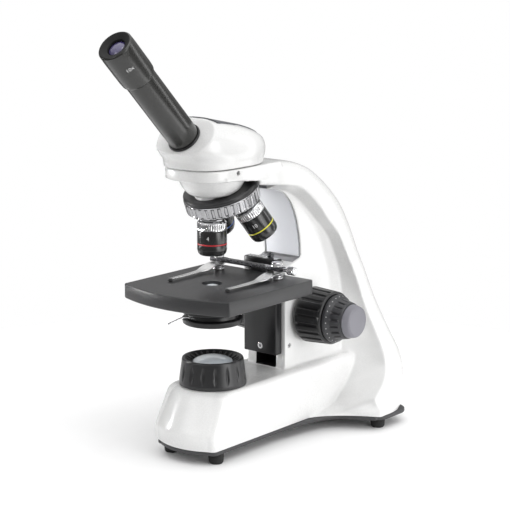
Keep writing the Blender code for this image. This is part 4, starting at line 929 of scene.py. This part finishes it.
def nosepiece():
    """White bowl, black disc with the light's hole, turret, pivot screw and the three objectives."""
    mount = turned("nosepiece_bowl", [(0.01, 0.2252), (0.0272, 0.2252), (0.027, 0.2246, 0.001),
        (0.025, 0.2203, 0.01), (0.0226, 0.216, 0.01), (0.0192, 0.2125, 0.004), (0.0152, 0.2106, 0.001),
        (0.0139, 0.2102, 0.0004), (0.0139, 0.2078, 0.0005), (0.013, 0.2075), (0.01, 0.2075)], OPTICAL,
        WHITE, 128, 0.0005)
    combine(mount, [rod("bowl_trim", 0.06, 0.0259, 0.06, TURRET_FRAME)])
    piece(mount, "stand", "white_paint", "nosepiece_mount")
    disc = turned("nosepiece_disc", [(0, 0.0262), (0.027, 0.0262, 0.0003), (0.029, 0.0263, 0.001),
        (0.0303, 0.0276, 0.0012), (0.0303, 0.0297, 0.0003), (0, 0.0297)], TURRET_FRAME, BLACK_PLASTIC, 128,
        0.0004)
    combine(disc, [rod("disc_light", 0.0088, 0.195, 0.225),
        rod("disc_pivot", PIVOT_BORE, 0.02, 0.035, TURRET_FRAME)])
    piece(disc, "stand", "black_plastic", "nosepiece_base")
    turret()
    pivot = turned("turret_screw", [(0, 0.0478), (0.0038, 0.0478, 0.0005), (0.0046, 0.0472, 0.0004),
        (0.0046, 0.0453), (0.003, 0.0453), (0.003, 0.0265), (0, 0.0265)], TURRET_FRAME, STEEL, 48, 0.0002)
    piece(pivot, "stand", "steel", "nosepiece_pivot_screw")
    for name, (turn, tip, colour) in OBJECTIVES.items():
        objective(name, objective_frame(turn), tip, colour)


def turret():
    """Chrome turret with a coarse knurl, a domed underside and three bosses for the objectives."""
    flutes = ribs(36, 0.0011, 0.0309, 0.0405, 0.42, 0.12, 0.0299)
    body = turned("turret", [(0, 0.03), (0.0296, 0.03), (0.0303, 0.0303), (0.0307, 0.0308, 0.0003),
        (0.0305, 0.04, 0.0006), (0.0296, 0.0411, 0.0008), (0.027, 0.0425, 0.004), (0.018, 0.0442, 0.004),
        (0, 0.045)], TURRET_FRAME, SHADED_TURRET_CHROME, 480, 0.0003, flutes, 0.001)
    frames = [objective_frame(turn) for turn, *_ in OBJECTIVES.values()]
    radius, top = 0.0106, SEAT - GAP
    boss = [(0, 0.04), (radius, 0.04), (radius, top), (0, top)]
    combine(body, [turned("boss", boss, at, None, 72, 0.0006) for at in frames], "UNION")
    bores = [rod("boss_bore", 0.0082, 0.02, 0.06, at) for at in frames]
    combine(body, [*bores, rod("turret_bore", PIVOT_BORE, 0.02, 0.06, TURRET_FRAME)])
    # The whole turret takes the darker chrome with its painted shade.
    repaint(body, SHADED_TURRET_CHROME)
    piece(body, "turret", "chrome", "nosepiece_turret")


def bent_number(name, at, text, radius, height, facing, body, up=1):
    """A magnification number bent round a barrel, at the side that faces a direction. up is 1 where its top
    points against the frame's Z."""
    curve = bpy.data.curves.new(name, "FONT")
    curve.body = text
    curve.size = 0.0044
    curve.extrude = 0.00005
    curve.resolution_u = 3
    curve.align_x = "CENTER"
    flat = new_object(name, curve)
    mesh = evaluated_mesh(flat)
    bpy.data.objects.remove(flat, do_unlink=True)
    outward = at.to_3x3().transposed() @ Vector(facing)
    middle_angle, proud = math.atan2(outward.y, outward.x), 0.00004
    for vertex in mesh.vertices:
        across, rise, thick = vertex.co
        angle = middle_angle - up * across / radius
        reach = radius + proud + thick
        vertex.co = (reach * math.cos(angle), reach * math.sin(angle), height - up * rise)
    mesh.materials.append(NUMBER_WHITE)
    piece(new_object(name, mesh, at), body, "black_plastic")


def objective(name, at, tip, colour):
    """Knurled sleeve, black barrel with a coloured ring, and the front lens."""
    knurl = ribs(40, 0.0004, SEAT + 0.0012, 0.0577, 0.5, 0.3, 0.0114)
    sleeve = turned(f"sleeve_{name}", [(0.007, SEAT - 0.005), (0.0078, SEAT - 0.005), (0.0078, SEAT),
        (0.0106, SEAT), (0.0113, SEAT + 0.0006), (0.0119, SEAT + 0.0016), (0.012, 0.0578), (0.0117, 0.0581),
        (0.0113, 0.0582), (0.0113, 0.061), (0.007, 0.061)], at, CHROME, 288, 0.0002, knurl, 0.0009)
    piece(sleeve, "turret", "chrome", f"objective_{name}_sleeve")
    radius, groove, band = 0.0119, 0.01165, tip - 0.01
    barrel = turned(f"barrel_{name}", [(0.0116, 0.0584), (radius, 0.0586), (radius, band),
        (groove, band + 0.0002, 0.0), (groove, band + 0.0013, 0.0), (radius, band + 0.0015),
        (radius, tip - 0.0046, 0.002), (0.0112, tip - 0.0018, 0.002), (0.0097, tip - 0.0003, 0.001),
        (0.0078, tip), (0.005, tip), (0.0042, tip - 0.0012), (0.0062, tip - 0.003), (0.0062, 0.0614),
        (0.0116, 0.0614)], at, BARREL_BLACK, 96, 0.0003)
    piece(barrel, "turret", "black_plastic", f"objective_{name}_barrel")
    ring = turned(f"colour_ring_{name}", [(0.0117, band + 0.00025), (0.01187, band + 0.00025),
        (0.01187, band + 0.00125), (0.0117, band + 0.00125)], at, colour, 96, 0.00008)
    piece(ring, "turret", "black_plastic")
    lens = turned(f"front_lens_{name}", [(0, tip - 0.0032), (0.003, tip - 0.0034), (0.0059, tip - 0.004),
        (0.0059, tip - 0.0052), (0, tip - 0.0052)], at, FRONT_GLASS, 64, 0.0002)
    piece(lens, "turret", "glass", f"objective_{name}_lens")
    bent_number(f"number_{name}", at, name[:-1], radius, (0.0586 + band) / 2 + 0.0016, (0.45, -1.0, 0),
        "turret")


# ---- head, tube and eyepiece

# z, front y, rear y, half width
HEAD_LEVELS = [
    (0.2353, -0.038, 0.043, 0.0306), (0.24, -0.0384, 0.0436, 0.0314),
    (0.243, -0.0396, 0.0444, 0.0322), (0.247, -0.043, 0.0446, 0.0329),
    (0.251, -0.045, 0.044, 0.033), (0.256, -0.045, 0.041, 0.032),
    (0.261, -0.044, 0.0322, 0.03), (0.2655, -0.042, 0.019, 0.0262),
    (0.269, -0.04, 0.004, 0.022), (0.2715, -0.038, -0.007, 0.0172),
    (0.2735, -0.037, -0.015, 0.011)]
HEAD_SQUARENESS = 2.9


def head_ring(level):
    """A level of the head: a squarish oval between its front and its rear."""
    z, front, rear, half_width = level

    def squarish(value):
        return math.copysign(abs(value) ** (2 / HEAD_SQUARENESS), value)

    turns = [math.tau * i / 120 for i in range(120)]
    return [(half_width * squarish(math.cos(turn)),
        (front + rear) / 2 + (rear - front) / 2 * squarish(math.sin(turn)), z) for turn in turns]


def head():
    """White head housing with its slanted face, the dark cover over its back, and the light path."""
    housing = loft("head", [head_ring(level) for level in smooth_through(HEAD_LEVELS, 5)], OPTICAL, WHITE)
    face = block("face_trim", (-0.06, -0.06, 0.0), (0.06, 0.06, 0.06), TUBE_FRAME)
    combine(housing, [face])
    cast(housing, 0.0007, 7)
    seam = block("seam", (-0.1, -0.1, 0.2), (0.1, 0.1, 0.2353))
    combine(housing, [seam])
    combine(housing, [rod("dovetail", 0.016, 0.2295, 0.24, OPTICAL, 96)], "UNION")
    combine(housing, [rod("light_path", 0.0118, 0.22, 0.25),
        rod("tube_bore", 0.0128, -0.026, 0.01, TUBE_FRAME, 96)], sharp=50)
    repaint(housing, WHITE)
    piece(housing, "head", "white_paint", "head_housing")
    top_cover()
    prism = side_plate("prism", [(-0.0085, 0.233), (0.0085, 0.233), (0.0085, 0.248), (0.004, 0.248)], 0.006,
        FRONT_GLASS, 0.0003)
    piece(prism, "head", "glass", "head_prism")


def grown_head(name, growth):
    """The head's outside grown by a distance, before its slanted face is cut."""
    rings = [head_ring((z + growth, front - growth, rear + growth, half + growth))
        for z, front, rear, half in smooth_through(HEAD_LEVELS, 5)]
    return loft(name, rings, OPTICAL)


def top_cover():
    """Dark cover that hugs the head: a broad shield behind the tube and a narrower part down the back."""
    front = -0.015
    half = smooth_through([(0.0192, front), (0.0192, 0.003), (0.018, 0.008), (0.015, 0.0115),
        (0.014, 0.016), (0.0148, 0.028), (0.0152, 0.037), (0.012, 0.0436), (0.0, 0.0464)], 4)
    outline = mirrored([(0.0, front), *half])
    cover = plate("head_cover", outline, 0.2495, 0.29)
    combine(cover, [grown_head("cover_outside", 0.0007)], "INTERSECT")
    trim = block("cover_trim", (-0.06, -0.06, -0.0003), (0.06, 0.06, 0.06), TUBE_FRAME)
    combine(cover, [grown_head("cover_inside", -0.0014), trim])
    edges(cover, 0.0003, 2, 40)
    repaint(cover, COVER_PLASTIC)
    piece(cover, "head", "grey_plastic", "head_top_cover")


def tube():
    """Viewing tube with a collar, and the eyepiece: chrome barrel, black cap and coated eye lens."""
    length, radius, bore, buried = 0.0722, 0.0125, 0.0117, -0.012
    viewing = turned("view_tube", [(bore, length), (0.0121, length), (radius, length - 0.0005, 0.0004),
        (radius, buried), (bore, buried)], TUBE_FRAME, TUBE_BLACK, 128, 0.0003)
    piece(viewing, "head", "black_paint", "viewing_tube")
    collar = turned("tube_collar", [(0.0127, 0.0002), (0.0137, 0.0002), (0.0137, 0.001), (0.0133, 0.0018),
        (0.0127, 0.0018)], TUBE_FRAME, BLACK_PLASTIC, 96, 0.0003)
    piece(collar, "head", "black_plastic")
    shoulder = length + GAP
    barrel = turned("eyepiece_sleeve", [(0.01, 0.096), (0.0128, 0.096), (0.0128, shoulder + 0.0005),
        (0.0126, shoulder), (0.0114, shoulder), (0.0114, 0.048), (0.01, 0.048)], TUBE_FRAME, CHROME, 96,
        0.0002)
    piece(barrel, "eyepiece", "chrome", "eyepiece_barrel")
    end, cap_radius = 0.1081, 0.0141
    cap = turned("eyepiece_shell", [(0.0071, end - 0.0034), (0.0076, end - 0.0024),
        (0.0114, end - 0.0006, 0.001), (0.0128, end, 0.0008), (0.0139, end - 0.0012, 0.001),
        (cap_radius, 0.1, 0.01), (0.014, 0.078, 0.002), (0.0137, shoulder + 0.001, 0.0008),
        (0.0133, shoulder), (0.0131, shoulder), (0.0131, 0.0963), (0.0071, 0.0963)], TUBE_FRAME, TUBE_BLACK,
        128, 0.0003)
    cap.data.materials.append(MOUTH_BLACK)
    for polygon in cap.data.polygons:
        if polygon.center.z > end - 0.004 and polygon.center.xy.length < 0.0128:
            polygon.material_index = 1
    piece(cap, "eyepiece", "black_plastic", "eyepiece_cap")
    lens = turned("eye_glass", [(0, end - 0.002), (0.0024, end - 0.0022), (0.0048, end - 0.0029),
        (0.0068, end - 0.004), (0.0068, 0.0966), (0, 0.0966)], TUBE_FRAME, EYE_GLASS, 96, 0.0006)
    piece(lens, "eyepiece", "glass", "eye_lens")
    bent_number("eyepiece_number", TUBE_FRAME, "10x", cap_radius, 0.0905, (0.75, -0.9, 0), "eyepiece", -1)


# ---- electrical pieces

def electrics():
    """Lamp dimmer on the left side, rocker switch and power inlet in the flat at the back."""
    knurl = ribs(30, 0.0004, 0.0336, 0.0392, 0.5, 0.3, 0.0087)
    dimmer = turned("dimmer_wheel", [(0, 0.0405), (0.0078, 0.0405, 0.0006), (0.0088, 0.0397, 0.0006),
        (0.0092, 0.0325), (0.0022, 0.0325), (0.0022, 0.023), (0, 0.023)],
        axis_frame((0, DIMMER_Y, DIMMER_Z), (-1, 0, 0)), BLACK_PLASTIC, 240, 0.0003, knurl, 0.0008)
    piece(dimmer, "dimmer", "black_plastic", "dimmer_knob")
    rocker_at = axis_frame((-0.0135, REAR_FACE_Y, REAR_FACE_Z), ALONG_X)
    rocker = [(-0.0035, -0.0037), (0.0012, -0.0048), (0.0003, 0.0), (-0.0003, 0.0048), (-0.0035, 0.0037)]
    switch = plate("rocker", rocker, -0.0067, 0.0067, rocker_at, BLACK_PLASTIC, 0.0004, 3)
    piece(switch, "switch", "black_plastic", "power_switch")
    inlet = turned("inlet_ring", [(0.0022, REAR_FACE_Y - 0.0004), (0.0049, REAR_FACE_Y - 0.0004),
        (0.0049, 0.185), (0.0022, 0.185)], INLET_FRAME, BLACK_PLASTIC, 64, 0.0003)
    piece(inlet, "stand", "black_plastic", "power_inlet")


# ---- studio

FLOOR_RADIUS = 0.45


def studio():
    """White floor under a soft dome of light, with a broad key light above and softboxes for the gloss."""
    bm = bmesh.new()
    bmesh.ops.create_circle(bm, cap_ends=True, segments=96, radius=FLOOR_RADIUS)
    floor = add("floor", bm, WORLD, surface("floor_paper", 0.93, 0.95, 0.8, 60.0, 0, specular=0.2))
    dome()
    sun = bpy.data.lights.new("key", "SUN")
    sun.energy = 0.55
    sun.angle = math.radians(45)
    aimed("key", sun, (0.4, -0.1, 0.95))
    softbox("right_strip", (1.15, -0.05, 0.2), 0.14, 1.5, 1.2)
    softbox("right_fill", (1.6, 0.0, 0.35), 1.0, 1.0, 9.0)
    softbox("low_strip", (0.38, 0.13, 0.05), 0.34, 0.1, 0.2, (0, OPTICAL_Y - 0.064, 0.291))
    softbox("rear_strip", (0.7, 1.0, 0.3), 0.2, 1.4, 2.4)
    softbox("front_fill", (-0.35, -1.7, 0.75), 0.9, 0.9, 3.0)
    softbox("arm_light", (-0.75, OPTICAL_Y - 0.36, 0.21), 0.15, 0.15, 0.17, (0, OPTICAL_Y + 0.09, 0.182), 24)
    settings = bpy.context.scene.view_settings
    settings.view_transform = "Standard"
    settings.look = "None"
    settings.exposure = 0.0
    camera()


def dome():
    """The surround: bright overhead and darker towards the horizon, so that metal and gloss have contrast.
    The empty background is plain white."""
    world = bpy.data.worlds.new("studio")
    bpy.context.scene.world = world
    world.use_nodes = True
    tree, nodes = world.node_tree, world.node_tree.nodes
    white = (1.0, 1.0, 1.0, 1.0)
    place = nodes.new("ShaderNodeTexCoord").outputs["Generated"]
    up = put(tree, nodes.new("ShaderNodeSeparateXYZ"), {"Vector": place}).outputs["Z"]
    light = put(tree, nodes.new("ShaderNodeMapRange"), {"Value": up, "From Min": 0.08, "From Max": 1.0,
        "To Min": 0.2, "To Max": 1.42}).outputs["Result"]
    lit = put(tree, nodes["Background"], {"Color": white, "Strength": light})
    plain = put(tree, nodes.new("ShaderNodeBackground"), {"Color": white, "Strength": 1.0})
    either = nodes.new("ShaderNodeMixShader")
    put(tree, either, {"Fac": nodes.new("ShaderNodeLightPath").outputs["Is Camera Ray"]})
    tree.links.new(lit.outputs["Background"], either.inputs[1])
    tree.links.new(plain.outputs["Background"], either.inputs[2])
    put(tree, nodes["World Output"], {"Surface": either.outputs["Shader"]})


def aimed(name, data, place, target=(0, 0, 0.17)):
    """A light or camera at a place, aimed at a point of the instrument."""
    obj = new_object(name, data)
    obj.location = place
    obj.rotation_mode = "QUATERNION"
    obj.rotation_quaternion = (Vector(target) - Vector(place)).to_track_quat("-Z", "Y")
    return obj


def softbox(name, place, width, height, power, target=(0, 0, 0.17), spread=180):
    """A rectangular light, spread in degrees, that the camera doesn't see."""
    data = bpy.data.lights.new(name, "AREA")
    data.shape = "RECTANGLE"
    data.size, data.size_y = width, height
    data.energy = power
    data.spread = math.radians(spread)
    aimed(name, data, place, target).visible_camera = False


def camera():
    """Camera to the right of the front, slightly above, with a long lens."""
    azimuth, elevation, distance = math.radians(39.2), math.radians(11.5), 1.3282
    target = Vector((0.0441, OPTICAL_Y, 0.1679))
    back = Vector((math.sin(azimuth) * math.cos(elevation), -math.cos(azimuth) * math.cos(elevation),
        math.sin(elevation)))
    data = bpy.data.cameras.new("camera")
    data.lens = 120.0
    data.sensor_width = 36.0
    data.clip_start, data.clip_end = 0.05, 20.0
    bpy.context.scene.camera = aimed("camera", data, target + back * distance, target)


stand_casting()
arm_panel()
base()
lamp()
focus_knobs()
shafts()
rack_block()
set_screws()
stage()
clips()
condenser()
nosepiece()
head()
tube()
electrics()
studio()
